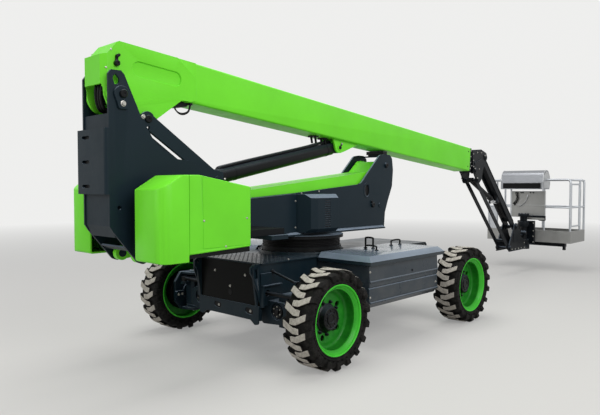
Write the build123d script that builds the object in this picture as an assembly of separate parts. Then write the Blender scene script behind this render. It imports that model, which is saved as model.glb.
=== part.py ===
from build123d import *
import math
import os

# Articulating boom lift with a twin-link riser, telescopic upper boom, jib and work platform.
#
# Millimetres. +X points to the platform end, +Y to the left side, +Z up.
# Lengths along X in this file are measured from the slewing axis. save() moves each piece
# by SLEW_X, so that the part's origin is on the ground in the middle of its length.

# Running gear
TYRE_R = 420.0
TYRE_W = 300.0
LUG_H = 24.0
LUG_COUNT = 18
RIM_R = 298.0
RIM_W = 250.0
DISC_DEPTH = 140.0
DISC_T = 14.0
DISC_HOLES = 5
DISC_HOLE_R = 26.0
HUB_R = 98.0
TRACK = 2084.0
WHEELBASE = 2366.0
STEER_AXLE_X = -800.0
FIXED_AXLE_X = STEER_AXLE_X + WHEELBASE
AXLE_Z = TYRE_R
KINGPIN_Y = 800.0
KINGPIN_R = 32.0

# Chassis
FRAME_HALF_W = 430.0
FRAME_Z0 = 330.0
DECK_Z = 830.0
DECK_T = 12.0
END_OVERHANG = 200.0
PLATE_T = 20.0
TIE_HOLE_R = 20.0
TIE_HOLE_X = 50.0
TIE_HOLE_DROP = 34.0
TIE_PLATE_REACH = 92.0
BOX_X0 = STEER_AXLE_X + 580.0
BOX_X1 = FIXED_AXLE_X - 566.0
BOX_HALF_W = 1050.0
BOX_Z0 = 400.0
BOX_Z1 = 792.0
LID_TOP_Z = 875.0
LID_CHAMFER_W = 50.0
LID_LIP = 30.0

# Slewing ring and turntable
RING_R = 420.0
RING_Z1 = 1020.0
TURRET_HALF = 200.0
BASE_Z0 = 1030.0
BASE_T = 26.0
BASE_REAR_X = -470.0
BASE_FRONT_X = 1195.0

# Riser: two parallel links of one length, pinned low at the turntable's front
RISER_PIN = (1270.0, 1770.0)
LINK_PIN_OFFSET = (-270.0, -460.0)
LINK_VECTOR = (-3020.0, -330.0)
RISER_PIN_R = 32.0
ARM_HALF_W = 160.0
ARM_H = 200.0
ARM_DROP = 150.0
LOWER_LINK_H = 100.0
LOWER_LINK_Y0 = 110.0
LOWER_LINK_Y1 = 158.0

# Upright
BOOM_PIN = (-2190.0, 2200.0)
UPRIGHT_REAR_X = BOOM_PIN[0] - 110.0
REAR_BOX_DEPTH = 42.0
BOOM_PIN_R = 45.0

# Upper boom, at its resting slope
BOOM_SLOPE = 5.33
BOOM_W = 270.0
BOOM_H = 342.0
BOOM_WALL = 9.0
BOOM_AXIS_Z = 2402.0
BOOM_AXIS_X = -1610.0
BOOM_TIP = 5180.0
FLY_W = 232.0
FLY_H = 296.0
FLY_WALL = 9.0
FLY_LENGTH = 4560.0
FLY_TIP = 5215.0
TELESCOPE_STROKE = 3300.0

# Jib
HEAD_PIN = (3770.0, 1762.0)
JIB_PIN = (4100.0, 1970.0)
JIB_OFFSET = (-250.0, -350.0)
JIB_VECTOR = (1230.0, -1140.0)
JIB_PIN_R = 26.0
ROTATOR_X = 5930.0
ROTATOR_R = 105.0

# Platform
PLATFORM_X0 = 6100.0
PLATFORM_DEPTH = 760.0
PLATFORM_HALF_W = 760.0
FLOOR_Z = 560.0
RAIL_HEIGHT = 1100.0
RAIL_R = 19.0
TOE_BOARD_H = 170.0
RAIL_BEND_R = 60.0
MID_RAIL_Z = 590.0
MID_RAIL_R = 15.0
GATE_POST_X = 528.0
GATE_TUBE_R = 14.0
GATE_PIN_R = 6.0

PIN_GAP = 0.5
REAR_END = UPRIGHT_REAR_X - REAR_BOX_DEPTH
FRONT_END = PLATFORM_X0 + PLATFORM_DEPTH + RAIL_R
SLEW_X = -(REAR_END + FRONT_END) / 2


# Shape helpers

def box(x0, x1, y0, y1, z0, z1):
    """A block between two corners."""
    return Pos((x0 + x1) / 2, (y0 + y1) / 2, (z0 + z1) / 2) * Box(x1 - x0, y1 - y0, z1 - z0)


def outline_face(outline, radii=None):
    """A face from a list of corners. radii maps a corner's place in the list to its rounding."""
    face = make_face(Polyline(*outline, close=True))
    for i, r in (radii or {}).items():
        corner = face.vertices().sort_by_distance(Vector(*outline[i]))[0]
        face = fillet([corner], r)
    return face


def plate(outline, y0, y1, radii=None):
    """A flat plate in the XZ plane, from y0 to y1. The outline lists (x, z) corners."""
    return Pos(0, y1, 0) * Rot(90, 0, 0) * extrude(outline_face(outline, radii), y1 - y0)


def plate_yz(outline, x0, x1):
    """A prism along X. The outline lists (y, z) corners."""
    face = Plane.YZ * outline_face(outline)
    return Pos(x0, 0, 0) * extrude(face, x1 - x0, dir=(1, 0, 0))


def plan(outline, z0, z1, radii=None):
    """A prism along Z. The outline lists (x, y) corners."""
    return Pos(0, 0, z0) * extrude(outline_face(outline, radii), z1 - z0)


def disc(x, z, r, y0, y1):
    """A cylinder along Y."""
    return Pos(x, (y0 + y1) / 2, z) * Rot(90, 0, 0) * Cylinder(r, y1 - y0)


def post(x, y, r, z0, z1):
    """A cylinder along Z."""
    return Pos(x, y, (z0 + z1) / 2) * Cylinder(r, z1 - z0)


def tube_between(a, b, r):
    """A round bar from point a to point b."""
    a, b = Vector(*a), Vector(*b)
    d = b - a
    return Plane(origin=a, z_dir=d) * Cylinder(r, d.length, align=(Align.CENTER, Align.CENTER, Align.MIN))


def bent_tube(points, r, bend=None):
    """A round tube through the points, with mitred corners, or with bends of the given radius."""
    if bend is None:
        path = Polyline(*points)
        return sweep(Plane(origin=path @ 0, z_dir=path % 0) * Circle(r), path=path, transition=Transition.RIGHT)
    runs = FilletPolyline(*points, radius=bend).edges()
    parts = [sweep(Plane(origin=e @ 0, z_dir=e % 0) * Circle(r), path=e) for e in runs]
    return parts[0].fuse(*parts[1:])


def along(origin, slope):
    """A plane whose local X runs down the given slope, towards +X, and local Z is up."""
    return Pos(origin[0], 0, origin[1]) * Rot(0, slope, 0)


def both_sides(build):
    """The same piece built on the right side and on the left side."""
    return [build(-1), build(1)]


def span(s, y0, y1):
    """The two Y limits of a piece on side s, in rising order."""
    return sorted((s * y0, s * y1))


def mirror_y(solid):
    return mirror(solid, Plane.XZ)


def save(name, *solids):
    """Writes one node, moved to the part's origin."""
    moved = [Pos(SLEW_X, 0, 0) * s for s in solids]
    shape = moved[0] if len(moved) == 1 else Compound(children=[b for m in moved for b in m.solids()])
    if len(shape.solids()) == 1:
        shape = shape.solids()[0]
    export_step(shape, os.path.join("parts", name + ".step"))


# Wheels

def lug(side):
    """One tread bar at the tyre's top: a swept plan shape cut by the shoulder's section."""
    half = TYRE_W / 2
    sweep_plan = [(-59, -48), (-7, -48), (-7, 10), (59, half + 2), (7, half + 2), (-59, 20)]
    prism = plan(sweep_plan, TYRE_R - 100, TYRE_R)
    root = TYRE_R - LUG_H - 16
    top = math.sqrt(TYRE_R ** 2 - 59 ** 2)
    section = [(-60, root), (-60, top), (half - 38, top), (half, TYRE_R - 26), (half, TYRE_R - 76),
               (half - 16, TYRE_R - 90), (half - 50, TYRE_R - 90), (half - 50, root)]
    bar = prism & plate_yz(section, -70, 70)
    return bar if side > 0 else mirror_y(bar)


def ring_of_flats(apothem, y0, y1, taper=0):
    """A prism along Y with one flat under each tread bar."""
    flats = 2 * LUG_COUNT
    face = RegularPolygon(apothem, flats, major_radius=False, rotation=180 / flats)
    return Pos(0, y0, 0) * Rot(-90, 0, 0) * extrude(face, y1 - y0, taper=taper)


def tyre():
    """Solid tyre: a flat-sided carcass with two staggered rows of bars."""
    half = TYRE_W / 2
    tread = TYRE_R - LUG_H
    shoulder = ring_of_flats(tread, half - 50, half - 12, taper=45)
    carcass = ring_of_flats(tread, 50 - half, half - 50) + shoulder + mirror_y(shoulder)
    carcass -= disc(0, 0, RIM_R + 1, -half, half)
    step = 360 / LUG_COUNT
    bars = []
    for i in range(LUG_COUNT):
        bars.append(Rot(0, i * step, 0) * lug(1))
        bars.append(Rot(0, (i + 0.5) * step, 0) * lug(-1))
    return carcass + bars


def rim():
    """Deep rim: a cone inside the flange, a barrel, and a pierced disc that carries the drive hub."""
    w = RIM_W / 2
    lip = RIM_R - 44
    back = w - DISC_DEPTH - DISC_T
    section = [(0, back), (RIM_R - 18, back), (RIM_R - 18, -w), (RIM_R, -w), (RIM_R, w), (RIM_R - 10, w),
               (lip, w - 40), (lip, w - DISC_DEPTH), (HUB_R, w - DISC_DEPTH), (HUB_R, w - 92), (HUB_R - 17, w - 80),
               (0, w - 80)]
    body = revolve(Plane.XZ * make_face(Polyline(*[(y, x) for x, y in section], close=True)), axis=Axis.X)
    for i in range(DISC_HOLES):
        a = 2 * math.pi * i / DISC_HOLES
        r = (lip + HUB_R) / 2
        body -= Pos(w - DISC_DEPTH, r * math.cos(a), r * math.sin(a)) * Rot(0, 90, 0) * Cylinder(DISC_HOLE_R, 3 * DISC_T)
    return Rot(0, 0, 90) * body


def wheel_places():
    """Name, x and side of each wheel. Side is +1 on the left."""
    return [("rear_left", STEER_AXLE_X, 1), ("rear_right", STEER_AXLE_X, -1),
            ("front_left", FIXED_AXLE_X, 1), ("front_right", FIXED_AXLE_X, -1)]


def build_wheels():
    tyre_left = tyre()
    rim_left = rim()
    for name, x, side in wheel_places():
        place = Pos(x, side * TRACK / 2, AXLE_Z)
        save("tyre_" + name, place * (tyre_left if side > 0 else mirror_y(tyre_left)))
        save("wheel_" + name, place * (rim_left if side > 0 else mirror_y(rim_left)))


# Axles and steering

HUB_FACE_Y = TRACK / 2 + RIM_W / 2 - DISC_DEPTH - DISC_T
STEER_ARM = 120.0
STEER_ROD_Z = AXLE_Z + 150.0
KNUCKLE_H = 250.0


def build_axles():
    x, z = STEER_AXLE_X, AXLE_Z
    fork_y = KINGPIN_Y
    half = KNUCKLE_H / 2
    beam_end = KINGPIN_Y - 240
    beam = box(x - 75, x + 75, -beam_end, beam_end, z - 85, z + 85)
    for s in (-1, 1):
        web = box(x - 75, x + 75, *span(s, beam_end - 20, beam_end + 80), z - half - 22, z + half + 22)
        beam += web
        for z0 in (z - half - 22, z + half + 2):
            beam += box(x - 75, x + 75, *span(s, beam_end + 60, fork_y), z0, z0 + 20)
            beam += post(x, s * fork_y, 75, z0, z0 + 20)
        beam += post(x, s * fork_y, KINGPIN_R, z - half - 30, z + half + 30)
    save("steer_axle", beam)
    for s, name in ((1, "left"), (-1, "right")):
        block = box(x - 66, x + 66, *span(s, fork_y - 66, fork_y + 66), z - half, z + half)
        block = chamfer(block.edges().filter_by(Axis.Z), 26)
        spindle = disc(x, z, 92, *span(s, fork_y + 50, HUB_FACE_Y - 0.3))
        arm_z = STEER_ROD_Z - 54.3
        arm = plan([(x - STEER_ARM - 30, s * (fork_y - 18)), (x - STEER_ARM - 30, s * (fork_y + 18)),
                    (x - STEER_ARM, s * (fork_y + 34)), (x, s * (fork_y + 50)), (x, s * (fork_y - 50)),
                    (x - STEER_ARM, s * (fork_y - 34))], arm_z, arm_z + 28)
        knuckle = (block + spindle + arm) - post(x, s * fork_y, KINGPIN_R + PIN_GAP, 0, 2 * z)
        save("knuckle_" + name, knuckle)
    rod_z = STEER_ROD_Z
    rod_x = x - STEER_ARM
    rod = tube_between((rod_x, -fork_y, rod_z), (rod_x, fork_y, rod_z), 17)
    for s in (-1, 1):
        rod += post(rod_x, s * fork_y, 30, rod_z - 26, rod_z + 20)
    save("steer_rod", rod)
    cyl = tube_between((rod_x, -300, rod_z), (rod_x, 300, rod_z), 38)
    for s in (-1, 1):
        cyl += box(rod_x - 10, x - 75.3, *sorted((s * 180, s * 230)), rod_z - 90, rod_z - 20)
    cyl -= tube_between((rod_x, -320, rod_z), (rod_x, 320, rod_z), 17 + PIN_GAP)
    save("steer_cylinder", cyl)
    xf = FIXED_AXLE_X
    tube = box(xf - 80, xf + 80, -FRAME_HALF_W - 60, FRAME_HALF_W + 60, z - 90, z + 90)
    for s in (-1, 1):
        tube += disc(xf, z, 82, *sorted((s * (FRAME_HALF_W + 50), s * (HUB_FACE_Y - 60))))
        tube += disc(xf, z, 110, *sorted((s * (HUB_FACE_Y - 100), s * (HUB_FACE_Y - 0.3))))
    save("fixed_axle", tube)


# Chassis

def build_chassis():
    x0 = STEER_AXLE_X - END_OVERHANG
    x1 = FIXED_AXLE_X + END_OVERHANG
    w = FRAME_HALF_W
    side = [(x0, 470), (x0 + 60, FRAME_Z0), (x0 + 110, FRAME_Z0), (STEER_AXLE_X + 110, FRAME_Z0),
            (BOX_X0, BOX_Z0 - 40), (BOX_X1, BOX_Z0 - 40), (FIXED_AXLE_X - 110, FRAME_Z0), (x1 - 60, FRAME_Z0),
            (x1, 470), (x1, DECK_Z), (x0, DECK_Z)]
    frame = plate(side, -w, w)
    frame -= box(x0 - 50, STEER_AXLE_X + 100, -w - 1, w + 1, FRAME_Z0 - 1, AXLE_Z + 100)
    frame += box(x0, x0 + 20, -w, w, FRAME_Z0, DECK_Z)
    frame += box(STEER_AXLE_X + 82, STEER_AXLE_X + 102, -w, w, FRAME_Z0, DECK_Z)
    frame -= box(FIXED_AXLE_X - 80.3, FIXED_AXLE_X + 80.3, -w - 1, w + 1, FRAME_Z0 - 1, AXLE_Z + 90.3)
    frame -= box(x0 + 20, STEER_AXLE_X - 75, -w - 1, w + 1, FRAME_Z0 - 1, DECK_Z - 90)
    deck = box(x0 + 2, x1 - 2, -w - 20, w + 20, DECK_Z, DECK_Z + DECK_T)
    frame += deck
    frame += post(0, 0, RING_R + 30, DECK_Z, DECK_Z + 40)
    frame -= box(x0 - 1, x0 + 21, -150, 150, FRAME_Z0 + 60, AXLE_Z + 40)
    for y in (-330, -210, 210, 330):
        frame -= Pos(x0 + 10, y, DECK_Z - 150) * Rot(0, 90, 0) * Cylinder(14, 60)
    for xe, d in ((x0, -1), (x1, 1)):
        for s in (-1, 1):
            y = s * (w - 30)
            ear = [(xe - d * 10, DECK_Z + 4), (xe + d * 58, DECK_Z + 4), (xe + d * TIE_PLATE_REACH, DECK_Z - 22),
                   (xe + d * TIE_PLATE_REACH, DECK_Z - 66), (xe + d * 58, DECK_Z - 120), (xe + d * 22, 470),
                   (xe - d * 10, 450)]
            frame += plate(ear, y - PLATE_T / 2, y + PLATE_T / 2)
            frame -= disc(xe + d * TIE_HOLE_X, DECK_Z - TIE_HOLE_DROP, TIE_HOLE_R, y - PLATE_T, y + PLATE_T)
    save("chassis_frame", frame)

    wide = BOX_HALF_W
    wall = [(w + 0.3, BOX_Z0), (wide - 46, BOX_Z0), (wide - 6, BOX_Z0 + 52), (wide - 6, 586), (wide - 14, 590),
            (wide - 14, 597), (wide - 6, 601), (wide, 655), (wide - 10, BOX_Z1), (w + 0.3, BOX_Z1)]
    save("side_boxes", *both_sides(lambda s: plate_yz([(s * y, z) for y, z in wall], BOX_X0, BOX_X1)))
    save("box_lids", *both_sides(box_lid))

    ring = post(0, 0, RING_R, DECK_Z + 40.3, DECK_Z + 84) + post(0, 0, RING_R - 24, DECK_Z + 84, RING_Z1 - 22)
    save("slew_ring", ring)


def box_lid(s):
    """Moulded lid with wide chamfers, its seat, and two grab handles."""
    outer = BOX_HALF_W + LID_LIP
    inner = FRAME_HALF_W + 22
    x_a, x_b = BOX_X0 - LID_LIP, BOX_X1 + 80
    lid = box(x_a, x_b, *span(s, inner, outer), BOX_Z1 + 8, LID_TOP_Z + 8)
    top = lid.edges().filter_by(lambda e: e.center().Z > LID_TOP_Z and abs(e.center().Y) > inner + 10)
    lid = chamfer(top, LID_CHAMFER_W)
    lid += box(BOX_X0 + 8, BOX_X1 - 8, *span(s, FRAME_HALF_W + 40, BOX_HALF_W - 20), BOX_Z1 + 0.3, BOX_Z1 + 9)
    z0, z1 = LID_TOP_Z - 6, LID_TOP_Z + 56
    y = s * (outer - 150)
    for x in (BOX_X0 + 330, BOX_X1 - 260):
        lid += bent_tube([(x, y, z0), (x, y, z1), (x + 110, y, z1), (x + 110, y, z0)], 7)
    return lid


# Turntable

def link_end(pin, vector):
    return (pin[0] + vector[0], pin[1] + vector[1])


LINK_PIN = link_end(RISER_PIN, LINK_PIN_OFFSET)
UPRIGHT_TOP_PIN = link_end(RISER_PIN, LINK_VECTOR)
UPRIGHT_LOW_PIN = link_end(LINK_PIN, LINK_VECTOR)
RISER_CYL_BASE = (1150.0, 1300.0)
RISER_CYL_EYE = (100.0, 1265.0)
RISER_CYL_PIN_R = 27.0


def turret_side(s):
    """Side plate with a raised horn that carries the riser's pin."""
    outline = [(-1150, 1120), (-1150, 1452), (777, 1554), (1140, 1886), (1240, 1900), (1345, 1898), (1396, 1858),
               (1418, 1719), (1398, 1526), (1314, 1358), (1253, 1217), (1233, BASE_Z0), (-760, BASE_Z0), (-1000, 1064)]
    radii = {2: 60, 3: 70, 5: 40, 6: 30, 7: 120, 9: 200}
    y0, y1 = span(s, TURRET_HALF - PLATE_T, TURRET_HALF)
    side = plate(outline, y0, y1, radii)
    side += box(-760, BASE_FRONT_X, *span(s, TURRET_HALF, TURRET_HALF + 45), BASE_Z0, BASE_Z0 + 14)
    oval = Pos(891, 0, 1480) * Rot(90, 0, 0) * extrude(SlotOverall(160, 92, rotation=90), 300, both=True)
    side -= oval
    for (x, z), r in ((RISER_PIN, RISER_PIN_R), (LINK_PIN, RISER_PIN_R), (RISER_CYL_BASE, RISER_CYL_PIN_R)):
        side -= disc(x, z, r + 0.3, y0 - 1, y1 + 1)
    return side


def turret_panel(s):
    """Bolted cover panel, bent in towards its front edge."""
    y = TURRET_HALF
    section = [(-1140, y + 0.3), (-1140, y + 26), (-477, y + 26), (-316, y + 5), (-294, y + 5), (-294, y + 0.3)]
    return plan([(x, s * v) for x, v in section], BASE_Z0 + 14.3, 1446)


def build_turntable():
    deck = box(BASE_REAR_X, BASE_FRONT_X, 20.3 - TURRET_HALF, TURRET_HALF - 20.3, BASE_Z0, BASE_Z0 + BASE_T)
    deck += post(0, 0, RING_R + 20, BASE_Z0 - 32, BASE_Z0 - 0.3) + post(0, 0, 150, BASE_Z0 - 32, BASE_Z0 + BASE_T)
    deck += box(1170, 1195, 20.3 - TURRET_HALF, TURRET_HALF - 20.3, BASE_Z0 + 6, 1200)
    arms = both_sides(lambda s: box(-1100, -900, *span(s, TURRET_HALF + 0.3, 680), 1070, 1106))
    top_plate = box(1322, 1376, 20.3 - TURRET_HALF, TURRET_HALF - 20.3, 1876, 1890)
    sides = both_sides(turret_side)
    panels = [panel - box(-1100.3, -899.7, -300, 300, 1060, 1106.3) for panel in both_sides(turret_panel)]
    pins = [disc(*RISER_PIN, RISER_PIN_R, -TURRET_HALF - 12, TURRET_HALF + 12),
            disc(*RISER_CYL_BASE, RISER_CYL_PIN_R, -TURRET_HALF - 6, TURRET_HALF + 6)]
    pins += both_sides(lambda s: disc(*LINK_PIN, RISER_PIN_R, *span(s, LOWER_LINK_Y0 - 6, TURRET_HALF + 12)))
    save("turntable_frame", deck, *arms, top_plate, *sides, *pins)
    save("turret_panels", *panels)

    rest = box(1330, 1372, -110, 110, 1890.3, 1906)
    rest += box(1315, 1400, -125, 125, 1906, 1946)
    save("boom_rest", rest)

    y = TURRET_HALF + 0.3
    shape = [(-292, -y), (-232, -345), (-170, -385), (150, -385), (150, -y)]
    drive_box = plan(shape, BASE_Z0 + 30, 1443)
    rims = drive_box.edges().filter_by(lambda e: abs(e.center().Z - 1250) > 180 and e.center().Y < -350)
    drive_box = chamfer(rims, 38)
    for z0 in (1110, 1310):
        for i in range(4):
            drive_box -= box(-62, 26, -400, -378, z0 + i * 22, z0 + i * 22 + 9)
    save("swing_drive_box", drive_box)


# Tail: covers over cast counterweights

COVER_Y0 = 340.0
COVER_Y1 = 690.0
COVER_WALL = 14.0
COVER_REAR = -2180.0
COVER_FRONT = -1330.0
COVER_SEAM = -1820.0


def cover_side():
    """Side view of a tail cover."""
    outline = [(COVER_REAR, 965), (-1942, 965), (-1942, 1018), (-1340, 1040), (COVER_FRONT, 1066), (COVER_FRONT, 1516),
               (-1850, 1605), (-2000, 1603), (COVER_REAR, 1497)]
    return outline_face(outline, {0: 26, 5: 22, 6: 90, 7: 70})


def cover_plan():
    """Plan of the left cover, with its large rear outer corner."""
    outline = [(COVER_REAR, COVER_Y0), (COVER_REAR, COVER_Y1), (COVER_FRONT, COVER_Y1), (COVER_FRONT, COVER_Y0)]
    return outline_face(outline, {1: 100, 2: 28})


def cover_solid(inset):
    """The left cover's outer form, or its cavity's form when inset."""
    side, top = cover_side(), cover_plan()
    if inset:
        side = offset(side, amount=-inset)
        top = offset(top, amount=-inset)
    return (Pos(0, 900, 0) * Rot(90, 0, 0) * extrude(side, 900)) & (Pos(0, 0, 900) * extrude(top, 900))


def build_tail():
    inner = cover_solid(COVER_WALL)
    shell = cover_solid(0) - inner
    shell -= extrude(inner.faces().sort_by(Axis.Y)[0], COVER_WALL + 1)
    shell -= box(COVER_FRONT - 30, COVER_FRONT + 1, COVER_Y0 - 1, COVER_Y1 - 50, 1085, 1175)
    shell -= box(COVER_SEAM - 2, COVER_SEAM + 2, COVER_Y1 - 3, COVER_Y1 + 1, 1049, 1546)
    bay = cover_solid(COVER_WALL + 0.3)
    block = box(-2150, -1500, COVER_Y0 + 2, COVER_Y1, 1090, 1400) & bay
    block += box(-1510, -1150, COVER_Y0 + 16, COVER_Y1 - 60, 1106.3, 1160)
    block += box(-1160, -900, TURRET_HALF + 60, COVER_Y1 - 60, 1106.3, 1160)
    save("cover_left", shell)
    save("cover_right", mirror_y(shell))
    save("counterweights", mirror_y(block), block)


# Riser

def build_riser():
    (px, pz), (qx, qz) = RISER_PIN, UPRIGHT_TOP_PIN
    w = ARM_HALF_W
    drop, half = ARM_DROP, ARM_H / 2
    slope = (pz - qz) / (px - qx)

    def line_z(x, d):
        return pz + (x - px) * slope - d

    arm_out = [(qx + 60, line_z(qx + 60, drop - half)), (px - 257, line_z(px - 257, drop - half)),
               (px - 100, pz + 52), (px - 30, pz + 62), (px + 50, pz + 44), (px + 60, pz - 26), (px - 60, pz - 92),
               (px - 330, line_z(px - 330, drop + half)), (qx + 150, line_z(qx + 150, drop + half)),
               (qx - 20, qz - 70), (qx - 62, qz - 10), (qx - 40, qz + 50), (qx + 20, qz + 60)]
    arm = plate(arm_out, -w, w, {1: 60, 2: 20, 4: 30, 5: 30, 7: 90, 8: 80, 9: 30, 10: 30, 11: 30})
    core = [(qx + 220, line_z(qx + 220, drop - half + 10)), (px - 460, line_z(px - 460, drop - half + 10)),
            (px - 460, line_z(px - 460, drop + half - 10)), (qx + 220, line_z(qx + 220, drop + half - 10))]
    arm -= plate(core, -w + 10, w - 10)
    arm -= box(px - 290, px + 100, -w + 22, w - 22, pz - 200, pz + 200)
    arm -= box(qx - 100, qx + 120, -w + 22, w - 22, qz - 200, qz + 200)
    for x, z in (RISER_PIN, UPRIGHT_TOP_PIN):
        arm += disc(x, z, 60, -w - 16, -w + 22) + disc(x, z, 60, w - 22, w + 16)
        arm -= disc(x, z, RISER_PIN_R + PIN_GAP, -w - 30, w + 30)
    ex, ez = RISER_CYL_EYE

    def eye_lug(s):
        top = [(ex - 80, line_z(ex - 80, drop + half) - 0.2), (ex + 80, line_z(ex + 80, drop + half) - 0.2)]
        lug_out = top + [(ex + 34, ez - 24), (ex, ez - 38), (ex - 34, ez - 24)]
        return plate(lug_out, *span(s, 52, 68)) + disc(ex, ez, 22, *span(s, 47, 76))

    save("riser_arm", arm, *both_sides(eye_lug))

    links = None
    (ax, az), (bx, bz) = LINK_PIN, UPRIGHT_LOW_PIN
    h = LOWER_LINK_H / 2
    for s in (-1, 1):
        y0, y1 = sorted((s * LOWER_LINK_Y0, s * LOWER_LINK_Y1))
        bar = plate([(ax, az + h), (bx, bz + h), (bx, bz - h), (ax, az - h)], y0, y1)
        bar += disc(ax, az, h + 10, y0, y1) + disc(bx, bz, h + 8, y0, y1)
        bar -= disc(ax, az, RISER_PIN_R + PIN_GAP, y0 - 1, y1 + 1)
        bar -= disc(bx, bz, RISER_PIN_R + PIN_GAP, y0 - 1, y1 + 1)
        links = bar if links is None else links + bar
    for f in (0.45, 0.8):
        x, z = ax + (bx - ax) * f, az + (bz - az) * f
        links += disc(x, z, 34, -LOWER_LINK_Y0 - 1, LOWER_LINK_Y0 + 1)
    save("riser_link", links)


# Hydraulic cylinders

def cylinder_pair(name, base, eye, r_barrel, r_rod, r_pin, eye_w, stroke, cover=0.9, retract=0):
    """Barrel with its eye at base, rod with its eye at the other end, in the plane y = 0."""
    bx, bz = base
    ex, ez = eye
    length = math.hypot(ex - bx, ez - bz)
    ux, uz = (ex - bx) / length, (ez - bz) / length

    def at(d):
        return (bx + ux * d, 0, bz + uz * d)

    end = length * cover
    barrel = tube_between(at(r_barrel * 0.7), at(end), r_barrel)
    barrel += tube_between(at(end - 60), at(end), r_barrel + 7)
    barrel += disc(bx, bz, r_barrel, -eye_w, eye_w)
    start = max(end - stroke - 90, r_barrel + 60 + retract)
    barrel -= tube_between(at(start - retract - 20), at(end + 5), r_rod + PIN_GAP)
    barrel -= disc(bx, bz, r_pin + PIN_GAP, -eye_w - 5, eye_w + 5)
    save(name + "_barrel", barrel)
    rod = tube_between(at(start), at(length - r_rod * 0.6), r_rod)
    rod += disc(ex, ez, r_rod * 1.5, -eye_w, eye_w)
    rod -= disc(ex, ez, r_pin + PIN_GAP, -eye_w - 5, eye_w + 5)
    save(name + "_rod", rod)


# Upright

BOOM_CYL_BASE = (-1262.0, 1578.0)
BOOM_CYL_EYE = (530.0, 1950.0)
BOOM_CYL_PIN_R = 34.0
BRACE_TOP = (-1955.0, 2046.0)


def upright_side(s):
    """Side plate with its curved front edge."""
    lx, lz = UPRIGHT_LOW_PIN
    back = UPRIGHT_REAR_X
    outline = [(back, 2350), (back + 22, 2380), (-2195, 2384), (-2168, 2358), (-2030, 2060), (-1900, 1852),
               (-1710, 1742), (-1540, 1732), (-1490, 1670), (-1420, 1612), (-1420, 1470), (-1620, 1250),
               (lx + 66, lz + 20), (lx + 56, lz - 38), (lx, lz - 66), (lx - 50, lz - 46), (back + 28, 1178),
               (back, 1222)]
    radii = {0: 20, 3: 24, 4: 120, 5: 160, 6: 120, 7: 20, 9: 26, 10: 50, 11: 120, 13: 30, 14: 40, 15: 30}
    y0, y1 = span(s, TURRET_HALF - PLATE_T, TURRET_HALF)
    side = plate(outline, y0, y1, radii)
    teardrop = [(back + 72, 2300), (back + 56, 2262), (back + 36, 2320), (back + 44, 2350)]
    side -= plate(teardrop, y0 - 1, y1 + 1, {0: 6, 1: 6, 2: 8, 3: 5})
    side -= disc(back + 80, 1360, 16, y0 - 1, y1 + 1)
    side += disc(*BOOM_PIN, 66, *span(s, TURRET_HALF, TURRET_HALF + 8))
    for pin, r in ((UPRIGHT_TOP_PIN, RISER_PIN_R), (UPRIGHT_LOW_PIN, RISER_PIN_R), (BOOM_PIN, BOOM_PIN_R)):
        side -= disc(*pin, r + 0.3, y0 - 10, y1 + 10)
    return side


def brace_bar(s):
    """Bar from the upright's top to the boom cylinder's lower pin, just inside the side plate."""
    tx, tz = BRACE_TOP
    ex, ez = BOOM_CYL_BASE
    outline = [(tx + 37, tz + 35), (-1305, 1667), (ex + 62, ez + 70), (ex + 62, ez - 40), (ex + 10, ez - 78),
               (ex - 60, ez - 56), (-1403, 1600), (tx + 8, tz - 92)]
    bar = plate(outline, *span(s, 152, TURRET_HALF - PLATE_T - 0.3), {2: 30, 3: 30, 4: 40, 5: 60})
    bar += disc(tx, tz, 60, *span(s, 152, TURRET_HALF - PLATE_T - 0.3))
    return bar - disc(ex, ez, BOOM_CYL_PIN_R + 0.3, *span(s, 140, 190))


def build_upright():
    back = UPRIGHT_REAR_X
    inner = TURRET_HALF - PLATE_T - 0.3
    web = box(back + 8, back + 20, -inner, inner, 1222, 2060)
    web += plate([(back + 8, 1222), (back + 20, 1222), (back + 70, 1140), (back + 58, 1134)], -inner, inner)
    low_plate = plate([(-2170, 1052), (-2120, 1022), (-2112, 1034), (-2162, 1064)], -inner, inner)
    pins = [disc(*UPRIGHT_TOP_PIN, RISER_PIN_R, -TURRET_HALF - 14, TURRET_HALF + 14),
            disc(*BOOM_PIN, BOOM_PIN_R, -TURRET_HALF - 14, TURRET_HALF + 14)]
    pins += both_sides(lambda s: disc(*UPRIGHT_LOW_PIN, RISER_PIN_R, *span(s, LOWER_LINK_Y0 - 6, TURRET_HALF + 8)))
    save("upright", *both_sides(upright_side), web, low_plate, *pins)

    shield = box(REAR_END, back - 0.3, -222, 222, 1460, 1950)
    shield = fillet(shield.edges().filter_by(Axis.Z).sort_by(Axis.X)[:2], 26)
    for z in (1520, 1705, 1890):
        shield -= box(REAR_END - 1, REAR_END + 14, 20, 130, z - 9, z + 9)
    save("upright_rear_box", shield)
    pins = both_sides(lambda s: disc(*BOOM_CYL_BASE, BOOM_CYL_PIN_R, *span(s, 62, inner)))
    save("upright_braces", *both_sides(brace_bar), *pins)


# Upper boom

def boom_plane():
    return along((BOOM_AXIS_X, BOOM_AXIS_Z), BOOM_SLOPE)


def rounded_tube(x0, x1, w, h, wall, r):
    """A hollow box section along X with rounded corners. Returns the outer solid and the hollow."""
    outer = Pos(x0, 0, 0) * extrude(Plane.YZ * RectangleRounded(w, h, r), x1 - x0)
    hollow = Pos(x0 - 10, 0, 0) * extrude(Plane.YZ * RectangleRounded(w - 2 * wall, h - 2 * wall, r - 4), x1 - x0 + 20)
    return outer, hollow


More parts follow.
